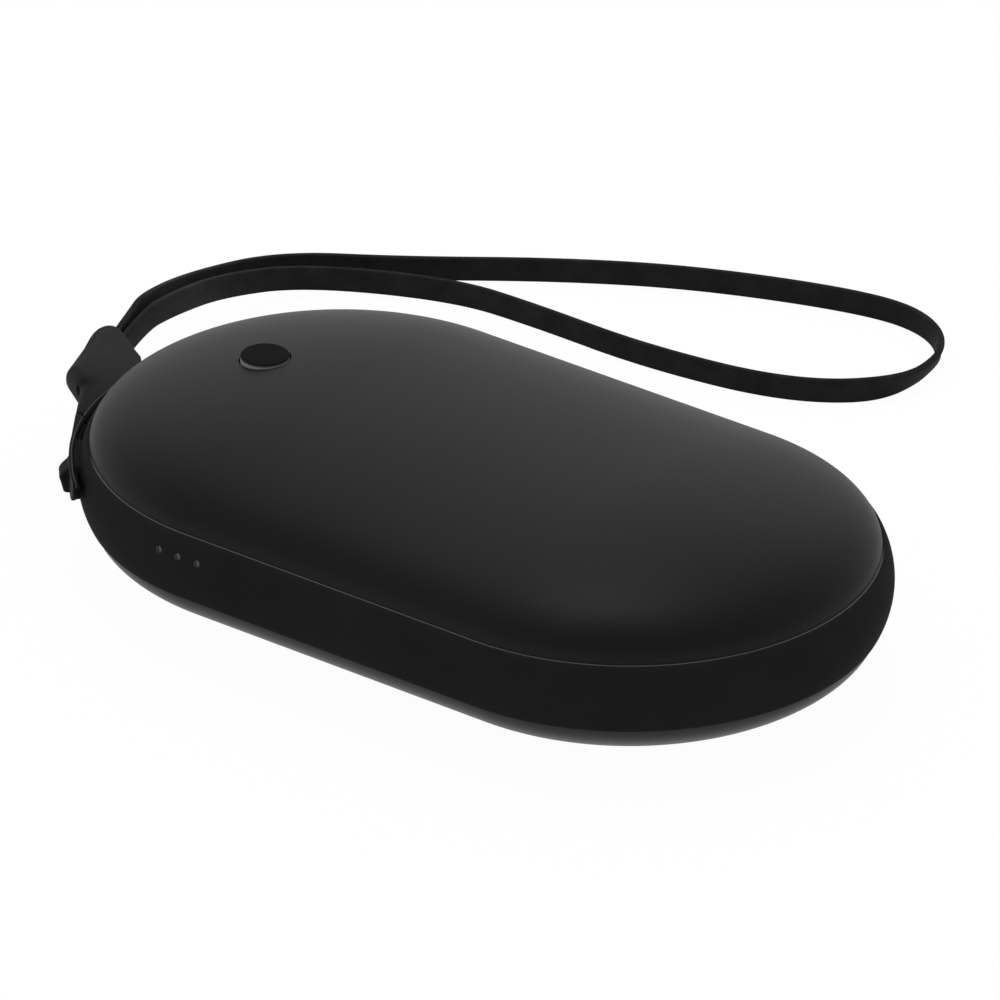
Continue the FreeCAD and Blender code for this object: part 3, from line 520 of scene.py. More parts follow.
def pillow_tree():
    tree, size = tree_with("pillow shell", (
        ("Half Straight", NUMBER), ("Radius", NUMBER), ("Rise", NUMBER), ("Depth", NUMBER),
        ("Seam", NUMBER), ("Way", NUMBER), ("Rings", COUNT), ("Arc Steps", COUNT),
        ("Straight Steps", COUNT), ("Coat", "NodeSocketMaterial")))
    half, arc_steps = size["Half Straight"], size["Arc Steps"]
    steps = calc(tree, "ADD", arc_steps, size["Straight Steps"])
    spokes = calc(tree, "MULTIPLY_ADD", steps, 2.0, 1.0)
    grid = feed(tree, add(tree, "GeometryNodeMeshGrid"), 1.0, 1.0, size["Rings"], spokes)
    place = point_parts(tree)
    rise_angle = calc(tree, "MULTIPLY", calc(tree, "SUBTRACT", 0.5, place["X"]), math.pi / 2)
    reach = calc(tree, "MULTIPLY", calc(tree, "COSINE", rise_angle), size["Radius"])
    round_share = calc(tree, "ADD", place["Y"], 0.5)
    step = calc(tree, "ROUND", calc(tree, "MULTIPLY", round_share, calc(tree, "MULTIPLY", steps, 2.0)))
    far_side = calc(tree, "GREATER_THAN", step, steps)
    side = calc(tree, "MULTIPLY_ADD", far_side, -2.0, 1.0)
    step = calc(tree, "SUBTRACT", step, calc(tree, "MULTIPLY", far_side, steps))
    turned_share = calc(tree, "DIVIDE", calc(tree, "MINIMUM", step, arc_steps), arc_steps)
    turn = calc(tree, "MULTIPLY", calc(tree, "SUBTRACT", turned_share, 0.5), math.pi)
    past = calc(tree, "MAXIMUM", calc(tree, "SUBTRACT", step, arc_steps), 0.0)
    slid_share = calc(tree, "DIVIDE", past, size["Straight Steps"])
    slid = calc(tree, "MULTIPLY", slid_share, calc(tree, "MULTIPLY", half, 2.0))
    x = calc(tree, "MULTIPLY_ADD", calc(tree, "COSINE", turn), reach, calc(tree, "SUBTRACT", half, slid))
    y = calc(tree, "MULTIPLY", calc(tree, "SINE", turn), reach)
    dome = calc(tree, "MULTIPLY", calc(tree, "SINE", rise_angle), size["Rise"])
    height = calc(tree, "MINIMUM", dome, size["Depth"])
    moved = placed(tree, grid.outputs["Mesh"], calc(tree, "MULTIPLY", x, side),
                   calc(tree, "MULTIPLY", y, side),
                   calc(tree, "MULTIPLY_ADD", height, size["Way"], size["Seam"]))
    closed = add(tree, "GeometryNodeMergeByDistance")
    fill(tree, closed.inputs["Distance"], MERGE_DISTANCE)
    tree.links.new(moved, closed.inputs["Geometry"])
    return ended(tree, closed.outputs[0], size["Coat"])


pillow = pillow_tree()
print("pillow tree:", len(pillow.nodes), "nodes")

# %% [markdown]
# The tree gives one open skin. A shell needs a wall, so the skin is thickened inwards, and the top one
# then has the button's hole cut through it, with a narrow gap all round. The modifiers are evaluated once
# and dropped, which leaves plain closed meshes.

# %% Make the shells
BUTTON_RADIUS = 2.86 * MM
BUTTON_GAP = 0.2 * MM
BASE_RISE = 8.1 * MM
SHELL_RINGS = 72
ARC_STEPS = 96
STRAIGHT_STEPS = 24
ROUND_SIDES = 96
UP, DOWN = 1.0, -1.0
button_low, button_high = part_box("power_button")
button_middle = (button_low + button_high) / 2


def cylinder(radius, low, high, centre):
    """Closed round cutter between two heights."""
    bm = bmesh.new()
    place = Matrix.Translation((centre.x, centre.y, (low + high) / 2))
    bmesh.ops.create_cone(bm, cap_ends=True, segments=ROUND_SIDES, radius1=radius, radius2=radius,
                          depth=high - low, matrix=place)
    return mesh_from(bm, "cutter")


def worked(data, *steps):
    """Apply modifiers, given as (type, settings), to a mesh and return the plain result."""
    holder = bpy.data.objects.new("work", data)
    scene.collection.objects.link(holder)
    tools = []
    for kind, settings in steps:
        modifier = holder.modifiers.new(kind, kind)
        for name, value in settings.items():
            if isinstance(value, bpy.types.Mesh):
                value = bpy.data.objects.new("tool", value)
                scene.collection.objects.link(value)
                tools.append(value)
            setattr(modifier, name, value)
    graph = bpy.context.evaluated_depsgraph_get()
    made = bpy.data.meshes.new_from_object(holder.evaluated_get(graph))
    for used in (*tools, holder):
        bpy.data.objects.remove(used)
    return made


def boolean(operation, tool):
    return ("BOOLEAN", {"operation": operation, "solver": "EXACT", "object": tool})


def shell_skin(name, rise, depth, seam, way, coat):
    skin = grown(pillow, name, {
        "Half Straight": HALF_STRAIGHT, "Radius": RIM_RADIUS, "Rise": rise, "Depth": depth, "Seam": seam,
        "Way": way, "Rings": SHELL_RINGS, "Arc Steps": ARC_STEPS, "Straight Steps": STRAIGHT_STEPS,
        "Coat": coat})
    bm = bmesh.new()
    bm.from_mesh(skin)
    return mesh_from(bm, name)


wall = ("SOLIDIFY", {"thickness": SHELL_WALL, "offset": -1.0, "use_even_offset": True})
hole = cylinder(BUTTON_RADIUS + BUTTON_GAP, TOP_SEAM, TOP_SEAM + 2 * DOME_RISE, button_middle)
top_skin = shell_skin("top_cover", DOME_RISE, DOME_RISE, TOP_SEAM, UP, shell_coat)
top_cover = add_piece("top_cover", worked(top_skin, wall, boolean("DIFFERENCE", hole)), shell_coat, "case")
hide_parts("top_shell")
low_skin = shell_skin("bottom_cover", BASE_RISE, LOW_SEAM, LOW_SEAM, DOWN, base_coat)
bottom_cover = add_piece("bottom_cover", worked(low_skin, wall), base_coat, "case")
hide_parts("bottom_shell")
print("shells:", len(top_cover.data.polygons), "and", len(bottom_cover.data.polygons), "faces")

# %% [markdown]
# ## The band
# The band is one bulged section carried round the oval. Its outside is an arc through both seams, and one
# rule gives its radius at any height, which the lights will need again.

# %% Sweep the band
BAND_EDGE = 0.22 * MM
BAND_WALL = 3.4 * MM
BULGE_STEPS = 12


def oval_path():
    """Stations round the oval, each as a centre and the outward direction there."""
    stations = []
    for way in (1, -1):
        centre = Vector((way * HALF_STRAIGHT, 0, 0))
        for step in range(ARC_STEPS):
            angle = math.radians(-90 + 180 * step / ARC_STEPS)
            stations.append((centre, Vector((math.cos(angle), math.sin(angle), 0)) * way))
        for step in range(STRAIGHT_STEPS):
            slide = Vector((-2 * HALF_STRAIGHT * step / STRAIGHT_STEPS, 0, 0)) * way
            stations.append((centre + slide, Vector((0, way, 0))))
    return stations


def side_radius_at(height):
    """Radius of the band's bulged side at a height."""
    half = (TOP_SEAM - LOW_SEAM) / 2
    bulge = BAND_RADIUS - RIM_RADIUS - SEAM_STEP
    side = (half * half + bulge * bulge) / (2 * bulge)
    return BAND_RADIUS - side + math.sqrt(side * side - (height - MIDDLE) ** 2)


def band_profile():
    """Closed section as (radius, height): bulged outside with soft edges, straight inside."""
    inside = BAND_RADIUS - BAND_WALL
    edge = RIM_RADIUS + SEAM_STEP - BAND_EDGE
    half = (TOP_SEAM - LOW_SEAM) / 2 - BAND_EDGE
    profile = [(inside, LOW_SEAM), (edge, LOW_SEAM)]
    for step in range(-BULGE_STEPS, BULGE_STEPS + 1):
        height = MIDDLE + half * step / BULGE_STEPS
        profile.append((side_radius_at(height), height))
    return profile + [(edge, TOP_SEAM), (inside, TOP_SEAM)]


def swept(profile, stations, name):
    """Carry a closed section round closed stations."""
    bm = bmesh.new()
    rings = []
    for centre, out in stations:
        rings.append([bm.verts.new(centre + out * r + Vector((0, 0, z))) for r, z in profile])
    bridge(bm, rings + rings[:1])
    return mesh_from(bm, name)


plain_band = swept(band_profile(), oval_path(), "case_band")
print("plain band:", len(plain_band.polygons), "faces")

# %% [markdown]
# Booleans then cut the charging slot and the three light holes, as a mould would. The lights' height and
# middle come from the frame's light guide, and the slot's height from its charging socket.

# %% Cut the band
PORT_ANGLE = -37.0
PORT_WIDTH = 9.34 * MM
PORT_HEIGHT = 3.66 * MM
SLOT_STEPS = 24
LIGHT_PITCH = 2.8 * MM
LIGHT_COUNT = 3
LIGHT_RADIUS = 0.45 * MM
LIGHT_GAP = 0.05 * MM
LIGHT_SIDES = 32
guide_low, guide_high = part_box("light_guide")
light_first = Vector(((guide_low.x + guide_high.x) / 2 - LIGHT_PITCH * (LIGHT_COUNT - 1) / 2,
                      -BAND_RADIUS, (guide_low.z + guide_high.z) / 2))


def light_cutter():
    radius = LIGHT_RADIUS + LIGHT_GAP
    bm = bmesh.new()
    for index in range(LIGHT_COUNT):
        place = Matrix.Translation(light_first + Vector((LIGHT_PITCH * index, 0, 0)))
        bmesh.ops.create_cone(bm, cap_ends=True, segments=LIGHT_SIDES, radius1=radius, radius2=radius,
                              depth=4 * BAND_WALL,
                              matrix=place @ Matrix.Rotation(math.radians(90), 4, "X"))
    return mesh_from(bm, "cutter")


def port_cutter():
    """Slot with round ends, turned to the port's angle round the strap end."""
    socket_low, socket_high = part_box("usb_socket")
    radius = PORT_HEIGHT / 2
    half = PORT_WIDTH / 2 - radius
    outline = []
    for way in (1, -1):
        for step in range(SLOT_STEPS + 1):
            angle = math.radians(-90 + 180 * step / SLOT_STEPS)
            outline.append((way * (half + radius * math.cos(angle)), way * radius * math.sin(angle)))
    bm = bmesh.new()
    depths = (-2 * BAND_RADIUS, -BAND_RADIUS / 2)
    capped(bm, [[bm.verts.new((x, a, b)) for a, b in outline] for x in depths])
    place = Vector((-HALF_STRAIGHT, 0, (socket_low.z + socket_high.z) / 2))
    bm.transform(Matrix.Translation(place) @ Matrix.Rotation(math.radians(-PORT_ANGLE), 4, "Z"))
    return mesh_from(bm, "cutter")


band_mesh = worked(plain_band, boolean("DIFFERENCE", light_cutter()), boolean("DIFFERENCE", port_cutter()))
case_band = add_piece("case_band", band_mesh, band_plastic, "case")
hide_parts("middle_band")
print("band:", len(band_mesh.polygons), "faces")

# %% [markdown]
# ## The button
# The button is turned: a low cap with a soft edge, a flange that the shell keeps in, and a stem down to
# the switch. The flange's height is read from the frame's own node, so the cap moves exactly as far as
# the part lets it. Its top is a little blacker than the shell, and its side has a painted highlight that
# grows lighter downwards.

# %% Turn the button
BUTTON_EDGE = 0.25 * MM
BUTTON_EDGE_STEPS = 6
BUTTON_DISH = 0.06 * MM
DISH_SPAN, DISH_SHARE = 0.5, 0.75
FLANGE_FROM = 1.1
STEM_RADIUS = 1.5 * MM
SIDE_START, SIDE_FULL = 0.08 * MM, 0.45 * MM
SIDE_HIGHLIGHT = 0.42
AXIS_MERGE = 0.0005 * MM
LEAST_AREA = 1e-14


def turned(profile, centre, name):
    """Revolve a section, given as (radius, height) from the top axis to the bottom axis."""
    bm = bmesh.new()
    middle = Vector((centre.x, centre.y, 0))
    rings = []
    for step in range(ROUND_SIDES):
        angle = 2 * math.pi * step / ROUND_SIDES
        out = Vector((math.cos(angle), math.sin(angle), 0))
        rings.append([bm.verts.new(middle + out * r + Vector((0, 0, z))) for r, z in profile])
    for ring, following in zip(rings, rings[1:] + rings[:1]):
        for i in range(len(profile) - 1):
            bm.faces.new((ring[i], following[i], following[i + 1], ring[i + 1]))
    bmesh.ops.remove_doubles(bm, verts=bm.verts, dist=AXIS_MERGE)
    flat = [f for f in bm.faces if f.calc_area() < LEAST_AREA]
    bmesh.ops.delete(bm, geom=flat, context="FACES_ONLY")
    return mesh_from(bm, name)


def button_profile():
    flange = [v.co.z for v in nodes["power_button"].data.vertices
              if (v.co - button_middle).to_2d().length > FLANGE_FROM * BUTTON_RADIUS]
    flange_radius = (button_high.x - button_low.x) / 2
    top = button_high.z
    profile = [(0, top - BUTTON_DISH), (DISH_SPAN * BUTTON_RADIUS, top - DISH_SHARE * BUTTON_DISH)]
    for step in range(BUTTON_EDGE_STEPS + 1):
        angle = math.radians(90 - 90 * step / BUTTON_EDGE_STEPS)
        profile.append((BUTTON_RADIUS - BUTTON_EDGE * (1 - math.cos(angle)),
                        top - BUTTON_EDGE * (1 - math.sin(angle))))
    return profile + [(BUTTON_RADIUS, max(flange)), (flange_radius, max(flange)),
                      (flange_radius, min(flange)), (STEM_RADIUS, min(flange)),
                      (STEM_RADIUS, button_low.z), (0, button_low.z)]


button_rubber = finish("button_rubber", grey(0.010), grey(0.012), 3 * MM, 0.1 * MM, (0.75, 0.85),
                       0.005 * MM, 0.05)
# Painted highlight on the button's side, lighter downwards.
button_side_highlight = ranged(button_rubber.node_tree, places(button_rubber)[1]["Z"], button_high.z - SIDE_START,
                     button_high.z - SIDE_FULL)
tinted(button_rubber, button_side_highlight, grey(SIDE_HIGHLIGHT))
button_mesh = turned(button_profile(), button_middle, "button_cap")
button_cap = add_piece("button_cap", button_mesh, button_rubber, "button")
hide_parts("power_button")
print("button top at %.2f mm" % (button_high.z / MM))

# %% [markdown]
# ## The lights
# Three small clear lenses stand in a row on the band. They repeat, so a node tree sets one lens on each
# point of a line, moves the points out to the band's curved side, and keeps the result as one mesh. Each
# lens has a painted highlight towards one side.

# %% Set the lenses
LENS_PROUD = 0.10 * MM
LENS_DEPTH = 0.25 * MM
LENS_SEGMENTS, LENS_RINGS = 24, 16
LENS_SLANT = 0.5
LENS_START, LENS_FULL = 0.1, 0.9
LENS_HIGHLIGHT = 0.16


def lens_tree():
    tree, size = tree_with("light lenses", (
        ("Count", COUNT), ("First", "NodeSocketVector"), ("Pitch", NUMBER), ("Straight End", NUMBER),
        ("Side Radius", NUMBER), ("Lens Radius", NUMBER), ("Lens Depth", NUMBER),
        ("Glass", "NodeSocketMaterial")))
    step = feed(tree, add(tree, "ShaderNodeCombineXYZ"), size["Pitch"])
    line = add(tree, "GeometryNodeMeshLine", mode="OFFSET")
    tree.links.new(size["Count"], line.inputs["Count"])
    tree.links.new(size["First"], line.inputs["Start Location"])
    tree.links.new(step.outputs[0], line.inputs["Offset"])
    place = point_parts(tree)
    past = calc(tree, "MINIMUM", calc(tree, "SUBTRACT", place["X"], size["Straight End"]), 0.0)
    out = calc(tree, "SQRT", calc(tree, "SUBTRACT", calc(tree, "POWER", size["Side Radius"], 2.0),
                                  calc(tree, "MULTIPLY", past, past)))
    seated = placed(tree, line.outputs[0], place["X"], calc(tree, "MULTIPLY", out, -1.0), place["Z"])
    ball = feed(tree, add(tree, "GeometryNodeMeshUVSphere"), LENS_SEGMENTS, LENS_RINGS, 1.0)
    shape = feed(tree, add(tree, "ShaderNodeCombineXYZ"), size["Lens Radius"], size["Lens Depth"],
                 size["Lens Radius"])
    lenses = add(tree, "GeometryNodeInstanceOnPoints")
    tree.links.new(seated, lenses.inputs["Points"])
    tree.links.new(ball.outputs["Mesh"], lenses.inputs["Instance"])
    tree.links.new(shape.outputs[0], lenses.inputs["Scale"])
    return ended(tree, lenses.outputs[0], size["Glass"])


def paint_lens_highlight():
    """Paint a highlight on each lens towards its upper right, where the light comes in."""
    tree = lens_plastic.node_tree
    place = places(lens_plastic)[1]
    from_first = calc(tree, "SUBTRACT", place["X"], light_first.x - LIGHT_PITCH / 2)
    share = calc(tree, "FRACT", calc(tree, "DIVIDE", from_first, LIGHT_PITCH))
    across = calc(tree, "MULTIPLY", calc(tree, "SUBTRACT", share, 0.5), LIGHT_PITCH)
    above = calc(tree, "SUBTRACT", place["Z"], light_first.z)
    side = calc(tree, "ADD", across, calc(tree, "MULTIPLY", above, LENS_SLANT))
    mask = ranged(tree, side, LENS_START * LIGHT_RADIUS, LENS_FULL * LIGHT_RADIUS)
    # Painted highlight on each lens.
    tinted(lens_plastic, mask, grey(LENS_HIGHLIGHT))


paint_lens_highlight()
lens_mesh = grown(lens_tree(), "light_lenses", {
    "Count": LIGHT_COUNT, "First": tuple(light_first), "Pitch": LIGHT_PITCH,
    "Straight End": -HALF_STRAIGHT, "Lens Radius": LIGHT_RADIUS, "Lens Depth": LENS_DEPTH,
    "Side Radius": side_radius_at(light_first.z) + LENS_PROUD - LENS_DEPTH, "Glass": lens_plastic})
light_lenses = add_piece("light_lenses", lens_mesh, lens_plastic, "case")
print("lenses:", LIGHT_COUNT)

# %% [markdown]
# ## Holder and port cover
# Both are moulded in soft rubber, so no edge on them is sharp. The frame's solids have the right main
# shapes. The holder's mouth is trimmed and three places on it are filled a little, and then both copies
# are remeshed in small voxels and smoothed, which rounds every edge and blends the inner corners as a
# rubber mould does. Places on the holder are a radius from the middle of the case's strap end and a
# distance along the sleeve, in millimetres.

# %% Soften the rubber pieces
VOXEL = 0.12 * MM
SMOOTHING = 0.5
SLEEVE_ROUNDS, FLAP_ROUNDS = 14, 5
COPY_MERGE = 0.001 * MM
SLEEVE_TURN = math.radians(-20)
cover_low, cover_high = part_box("port_cover")
STRIP_LOW, STRIP_TOP = cover_low.z, cover_high.z
MOUTH_CUT = ((34.1, 21.3), (35.4, 21.75), (38.0, 21.8), (38.0, 26.13), (30.0, 26.13), (29.2, 15.21))
CORNER_FILL = ((34.5, 10.5), (35.6, 11.2), (36.2, 13.2), (36.4, 15.5), (36.6, 18.0), (36.6, 19.4),
               (36.4, 20.6), (35.95, 21.4), (35.4, 21.75), (34.5, 21.75))
CORNER_SET_IN = 0.12 * MM
EYE_FILL = ((33.0, 5.2), (35.0, 9.0), (35.0, 10.8), (33.0, 10.8))
EYE_LOW, EYE_HIGH = 11.3 * MM, 13.0 * MM
WEB_FILL = ((33.0, 9.0), (33.0, 19.4), (30.81, 17.0), (29.33, 15.23), (28.53, 13.36), (29.5, 9.0))


def sleeve_prism(plan, low, high):
    """Closed upright prism over places given as (radius, along) in millimetres."""
    bm = bmesh.new()
    flat = []
    for radius, along in plan:
        x = -HALF_STRAIGHT + (along * math.sin(SLEEVE_TURN) - radius * math.cos(SLEEVE_TURN)) * MM
        y = (radius * math.sin(SLEEVE_TURN) + along * math.cos(SLEEVE_TURN)) * MM
        flat.append((x, y))
    capped(bm, [[bm.verts.new((x, y, z)) for x, y in flat] for z in (low, high)])
    return mesh_from(bm, "prism")


def merged_copy(node):
    bm = bmesh.new()
    bm.from_mesh(nodes[node].data)
    bmesh.ops.remove_doubles(bm, verts=bm.verts, dist=COPY_MERGE)
    return mesh_from(bm, node)


def moulded(data, rounds, *first):
    """Apply the first steps, then remesh in voxels and smooth."""
    return worked(data, *first, ("REMESH", {"mode": "VOXEL", "voxel_size": VOXEL}),
                  ("SMOOTH", {"factor": SMOOTHING, "iterations": rounds}))


def joined(plan, low, high):
    return boolean("UNION", sleeve_prism(plan, low, high))


sleeve_mesh = moulded(merged_copy("strap_holder"), SLEEVE_ROUNDS, joined(WEB_FILL, STRIP_LOW, STRIP_TOP),
                      joined(CORNER_FILL, STRIP_LOW + CORNER_SET_IN, STRIP_TOP - CORNER_SET_IN),
                      joined(EYE_FILL, EYE_LOW, EYE_HIGH),
                      boolean("DIFFERENCE", sleeve_prism(MOUTH_CUT, 0, 2 * STRIP_TOP)))
flap_mesh = moulded(merged_copy("port_cover"), FLAP_ROUNDS)
print("rubber meshes:", len(sleeve_mesh.polygons), "and", len(flap_mesh.polygons), "faces")

# %% [markdown]
# The nub on the cover slopes down towards its tip, and the strip's free end stands off the band and rises
# a little at the bottom. These are bends of the moulded mesh, so they are done point by point. The angles
# are degrees round the strap end.

# %% Bend the flap
STRIP_OUTER = 31.25 * MM
NUB_PROUD = 1.25 * MM
NUB_FALL = 1.35 * MM
NUB_START, NUB_FULL = -33.0, -36.0
END_RISE = 0.9 * MM
END_START, END_FULL = -40.0, -50.0
FLARE = 0.3 * MM
FLARE_START, FLARE_END = -41.0, -52.0

for vertex in flap_mesh.vertices:
    x, y, z = vertex.co
    radius = math.hypot(x + HALF_STRAIGHT, y)
    angle = math.degrees(math.atan2(y, -x - HALF_STRAIGHT))
    height = ramp(z, STRIP_LOW, STRIP_TOP)
    on_nub = ramp(radius, STRIP_OUTER, STRIP_OUTER + NUB_PROUD) * ramp(angle, NUB_START, NUB_FULL)
    at_end = ramp(angle, END_START, END_FULL)
    vertex.co.z = z - NUB_FALL * on_nub * height + END_RISE * at_end * (1 - height)
    spread_out = 1 + FLARE * eased(ramp(angle, FLARE_START, FLARE_END)) / radius
    vertex.co.x = (x + HALF_STRAIGHT) * spread_out - HALF_STRAIGHT
    vertex.co.y = y * spread_out
print("flap bent")

# %% [markdown]
# One recipe makes the rubber of both pieces, a little lighter on the sleeve than on the cover. Its colour
# follows four places: painted shade darkens it down the sleeve, painted shade makes it nearly black inside
# the thin skin, painted shade stands for a dark hollow round the eye at the low end of the sleeve, and a
# narrow painted highlight marks the skin's inner edge at the top.

# %% Mix the rubber
SKIN_INNER = 30.85 * MM
SKIN_BLUR = 0.06 * MM
EYE_PLACE = Vector((-54.72, -4.91, 12.4)) * MM
EYE_REACH = 2.7 * MM
EYE_CORE, EYE_SHADE = 0.2, 0.95
LINE_WIDTH = 0.13 * MM
LINE_OFFSET, LINE_CORE = 0.4, 0.3
LINE_START, LINE_FULL = 0.9 * MM, 0.6 * MM
SHADE_START, SHADE_FULL = 14 * MM, 4 * MM
SLEEVE_SHADE = 0.7
SLEEVE_SHADE_GREY, SKIN_SHADE_GREY, EYE_SHADE_GREY = 0.008, 0.006, 0.003
LINE_HIGHLIGHT = 0.13


def rubber_finish(name, dark, light):
    made = finish(name, grey(dark), grey(light), 4 * MM, 0.12 * MM, (0.6, 0.7), 0.008 * MM, 0.06)
    tree = made.node_tree
    place, parts = places(made)
    along = calc(tree, "ADD", parts["X"], HALF_STRAIGHT)
    squares = calc(tree, "MULTIPLY_ADD", along, along, calc(tree, "POWER", parts["Y"], 2.0))
    angle = calc(tree, "ARCTAN2", parts["Y"], calc(tree, "MULTIPLY", along, -1.0))
    flare = ranged(tree, angle, math.radians(FLARE_START), math.radians(FLARE_END), 0.0, FLARE)
    radius = calc(tree, "SUBTRACT", calc(tree, "SQRT", squares), flare)
    inside = ranged(tree, radius, SKIN_INNER, SKIN_INNER - SKIN_BLUR)
    eye = feed(tree, add(tree, "ShaderNodeVectorMath", operation="DISTANCE"), place, EYE_PLACE)
    eye_shade_mask = ranged(tree, eye.outputs["Value"], EYE_REACH, EYE_CORE * EYE_REACH, 0.0, EYE_SHADE)
    off_line = calc(tree, "ABSOLUTE", calc(tree, "SUBTRACT", radius, SKIN_INNER + LINE_OFFSET * LINE_WIDTH))
    near_highlight = ranged(tree, off_line, LINE_WIDTH, LINE_CORE * LINE_WIDTH)
    on_top = ranged(tree, parts["Z"], STRIP_TOP - LINE_START, STRIP_TOP - LINE_FULL)
    down_sleeve = calc(tree, "MULTIPLY_ADD", along, math.sin(SLEEVE_TURN),
                       calc(tree, "MULTIPLY", parts["Y"], math.cos(SLEEVE_TURN)))
    shade = ranged(tree, down_sleeve, SHADE_START, SHADE_FULL, 0.0, SLEEVE_SHADE)
    # Painted shade, darker down the sleeve.
    tinted(made, shade, grey(SLEEVE_SHADE_GREY))
    # Painted shade: nearly black inside the thin skin, where the gap to the band is in shadow.
    tinted(made, inside, grey(SKIN_SHADE_GREY))
    # Painted shade round the eye, standing for a shaded hollow.
    tinted(made, eye_shade_mask, grey(EYE_SHADE_GREY))
    # Painted highlight along the skin's inner edge at the top.
    tinted(made, calc(tree, "MULTIPLY", near_highlight, on_top), grey(LINE_HIGHLIGHT))
    return made


sleeve_rubber = rubber_finish("sleeve_rubber", 0.030, 0.036)
flap_rubber = rubber_finish("flap_rubber", 0.018, 0.022)
for piece_name, node_name, body, data, rubber in (
        ("strap_sleeve", "strap_holder", "case", sleeve_mesh, sleeve_rubber),
        ("port_flap", "port_cover", "cover", flap_mesh, flap_rubber)):
    piece = add_piece(piece_name, data, rubber, body)
    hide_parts(node_name)
print("rubber pieces in place")

# %% [markdown]
# ## What is inside
# The shells hide the battery, the board and the heating films. They stay as the frame's own nodes, and
# each gets the finish of the real thing: a crinkled pouch, green laminate, amber film, pale moulded
# plastic, foam and plain metal.

# %% Finish the inner pieces
tray_plastic = finish("tray_plastic", grey(0.45), grey(0.52), 6 * MM, 0.2 * MM, (0.45, 0.55), 0.004 * MM)
laminate = finish("board_laminate", (0.01, 0.10, 0.04), (0.015, 0.14, 0.06), 3 * MM, 0.3 * MM,
                  (0.3, 0.4), 0.003 * MM)
chip_plastic = finish("chip_plastic", grey(0.012), grey(0.018), 2 * MM, 0.1 * MM, (0.4, 0.5), 0.003 * MM)
steel = finish("steel", grey(0.45), grey(0.55), 2 * MM, 0.15 * MM, (0.25, 0.35), 0.002 * MM, metallic=1.0)
nickel = finish("nickel", (0.5, 0.48, 0.42), (0.58, 0.55, 0.48), 2 * MM, 0.1 * MM, (0.25, 0.4),
                0.002 * MM, metallic=1.0)
pouch = finish("cell_wrap", grey(0.5), grey(0.6), 8 * MM, 1.2 * MM, (0.3, 0.45), 0.03 * MM, metallic=0.9)
film = finish("heater_film", (0.35, 0.13, 0.02), (0.45, 0.18, 0.03), 5 * MM, 0.4 * MM, (0.2, 0.3),
              0.002 * MM)
foam = finish("foam", grey(0.06), grey(0.1), 1.5 * MM, 0.35 * MM, (0.85, 0.95), 0.08 * MM)
bead = finish("sensor_glass", (0.2, 0.05, 0.02), (0.28, 0.08, 0.03), 1 * MM, 0.1 * MM, (0.1, 0.2),
              0.001 * MM)
lamp_body = finish("lamp_body", (0.6, 0.58, 0.5), (0.7, 0.68, 0.58), 0.8 * MM, 0.1 * MM, (0.3, 0.4),
                   0.002 * MM)
inner_finish = {
    "inner_tray": tray_plastic, "switch_plunger": tray_plastic, "button_guide": tray_plastic,
    "circuit_board": laminate, "control_chip": chip_plastic, "power_coil": chip_plastic,
    "socket_tongue": chip_plastic, "tact_switch": chip_plastic, "board_screws": steel, "usb_socket": steel,
    "battery_tabs": nickel, "battery_cell": pouch, "top_heater": film, "bottom_heater": film,
    "top_foam": foam, "bottom_foam": foam, "heat_sensor": bead, "status_lamps": lamp_body,
    "light_guide": lens_plastic,
}
for node_name, material in inner_finish.items():
    nodes[node_name].data.materials.clear()
    nodes[node_name].data.materials.append(material)
print("inner pieces finished:", len(inner_finish))

# %% [markdown]
# ## The floor
# The photograph's ground is pure white. The floor is pale and mostly shows as white to the camera and in
# reflections, so only a trace of shadow stays under the warmer.

# %% Lay the floor
FLOOR_SIZE = 6.0
FLOOR_GREY = 0.8
FLOOR_ROUGH = 0.9
FLOOR_WHITE = 0.93
FLOOR_GLOW = 1.04


def mirror_rays(tree, ray):
    """1 for rays that come off or through a surface."""
    return calc(tree, "MAXIMUM", ray["Is Glossy Ray"], ray["Is Transmission Ray"])


def floor_material():
    made = bpy.data.materials.new("floor")
    made.use_nodes = True
    tree = made.node_tree
    shader = tree.nodes["Principled BSDF"]
    fill(tree, shader.inputs["Base Color"], (FLOOR_GREY, FLOOR_GREY, FLOOR_GREY, 1))
    fill(tree, shader.inputs["Roughness"], FLOOR_ROUGH)
    fill(tree, shader.inputs["Specular IOR Level"], 0.0)
    white = add(tree, "ShaderNodeEmission")
    fill(tree, white.inputs["Strength"], FLOOR_GLOW)
    ray = add(tree, "ShaderNodeLightPath").outputs
    seen = calc(tree, "MAXIMUM", ray["Is Camera Ray"], mirror_rays(tree, ray))
    mixed = feed(tree, add(tree, "ShaderNodeMixShader"), calc(tree, "MULTIPLY", seen, FLOOR_WHITE),
                 shader.outputs[0], white.outputs[0])
    fill(tree, tree.nodes["Material Output"].inputs["Surface"], mixed.outputs[0])
    return made


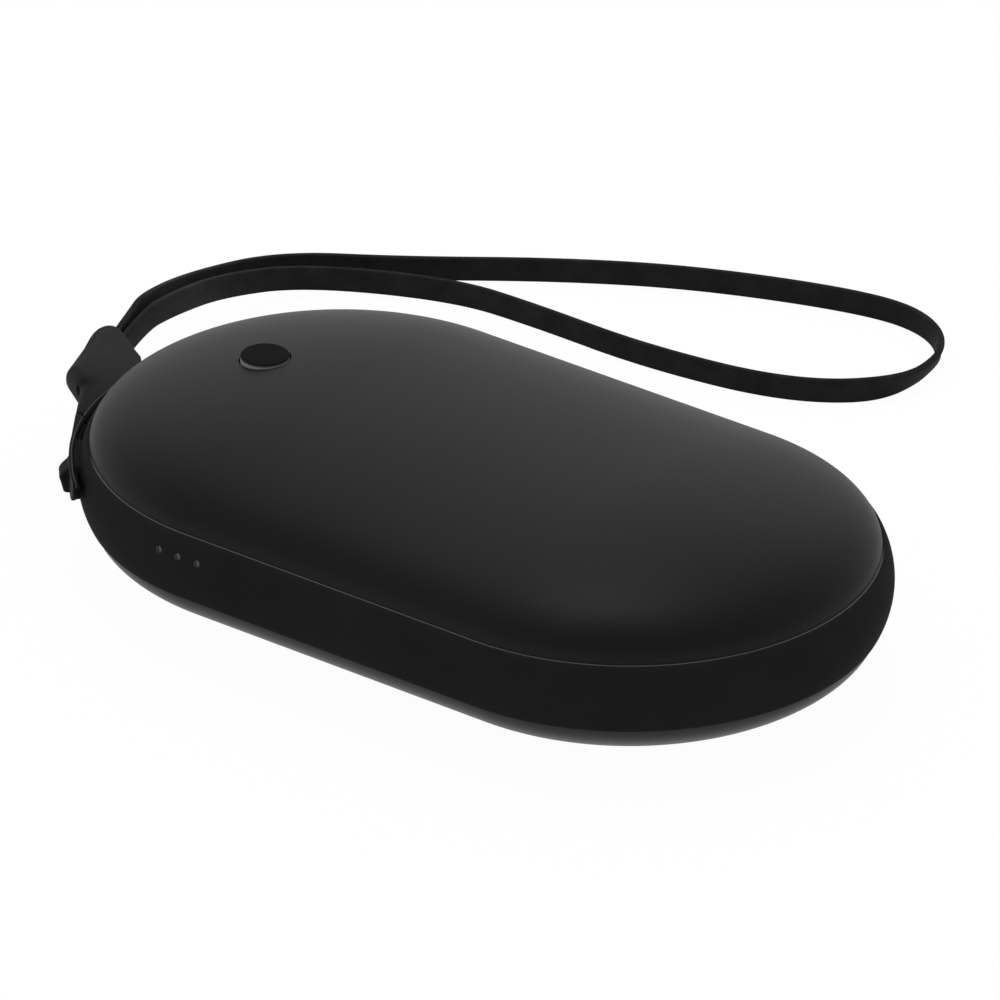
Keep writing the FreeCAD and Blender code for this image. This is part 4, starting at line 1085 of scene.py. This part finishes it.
def make_floor():
    bm = bmesh.new()
    bmesh.ops.create_grid(bm, x_segments=1, y_segments=1, size=FLOOR_SIZE / 2)
    data = mesh_from(bm, "floor")
    data.materials.append(floor_material())
    floor = bpy.data.objects.new("floor", data)
    scene.collection.objects.link(floor)


make_floor()
print("floor laid")

# %% [markdown]
# ## World and lamps
# The world is white to the camera and to reflections near the horizon, and dimmer overhead, as a studio
# with a white sweep is. Two soft lamps do the rest: a broad one behind the warmer, which mirrors on the
# level top of the shell, and a small one high above, which mirrors on the shell's front slope.

# %% Light the scene
WORLD_FILL = 0.45
WORLD_HORIZON = 1.0
WORLD_ZENITH = 0.25
FADE_START, FADE_END = 0.15, 0.85
LAMP_AIM = Vector((0, 0, 0.02))
BACK_PLACE = (-0.55, 0.75, 0.65)
BACK_SIZE = (0.9, 0.6)
BACK_POWER = 0.9
TOP_PLACE = (-0.245, 0.242, 0.89)
TOP_SIZE = (0.2, 0.2)
TOP_POWER = 1.4


def make_world():
    world = bpy.data.worlds.new("studio")
    world.use_nodes = True
    scene.world = world
    tree = world.node_tree
    background = tree.nodes["Background"]
    ray = add(tree, "ShaderNodeLightPath").outputs
    way = add(tree, "ShaderNodeTexCoord").outputs["Generated"]
    height = feed(tree, add(tree, "ShaderNodeSeparateXYZ"), way).outputs["Z"]
    fade = ranged(tree, height, FADE_START, FADE_END, WORLD_HORIZON, WORLD_ZENITH)
    soft = calc(tree, "MULTIPLY_ADD", calc(tree, "SUBTRACT", fade, WORLD_FILL), mirror_rays(tree, ray),
                WORLD_FILL)
    fill(tree, background.inputs["Color"], (1, 1, 1, 1))
    fill(tree, background.inputs["Strength"], calc(tree, "MAXIMUM", soft, ray["Is Camera Ray"]))


def make_lamp(name, place, size, power):
    data = bpy.data.lights.new(name, "AREA")
    data.shape = "RECTANGLE"
    data.size, data.size_y = size
    data.energy = power
    lamp = bpy.data.objects.new(name, data)
    lamp.location = place
    lamp.rotation_euler = (LAMP_AIM - Vector(place)).to_track_quat("-Z", "Y").to_euler()
    scene.collection.objects.link(lamp)


make_world()
make_lamp("back_softbox", BACK_PLACE, BACK_SIZE, BACK_POWER)
make_lamp("top_softbox", TOP_PLACE, TOP_SIZE, TOP_POWER)
print("world and lamps ready")
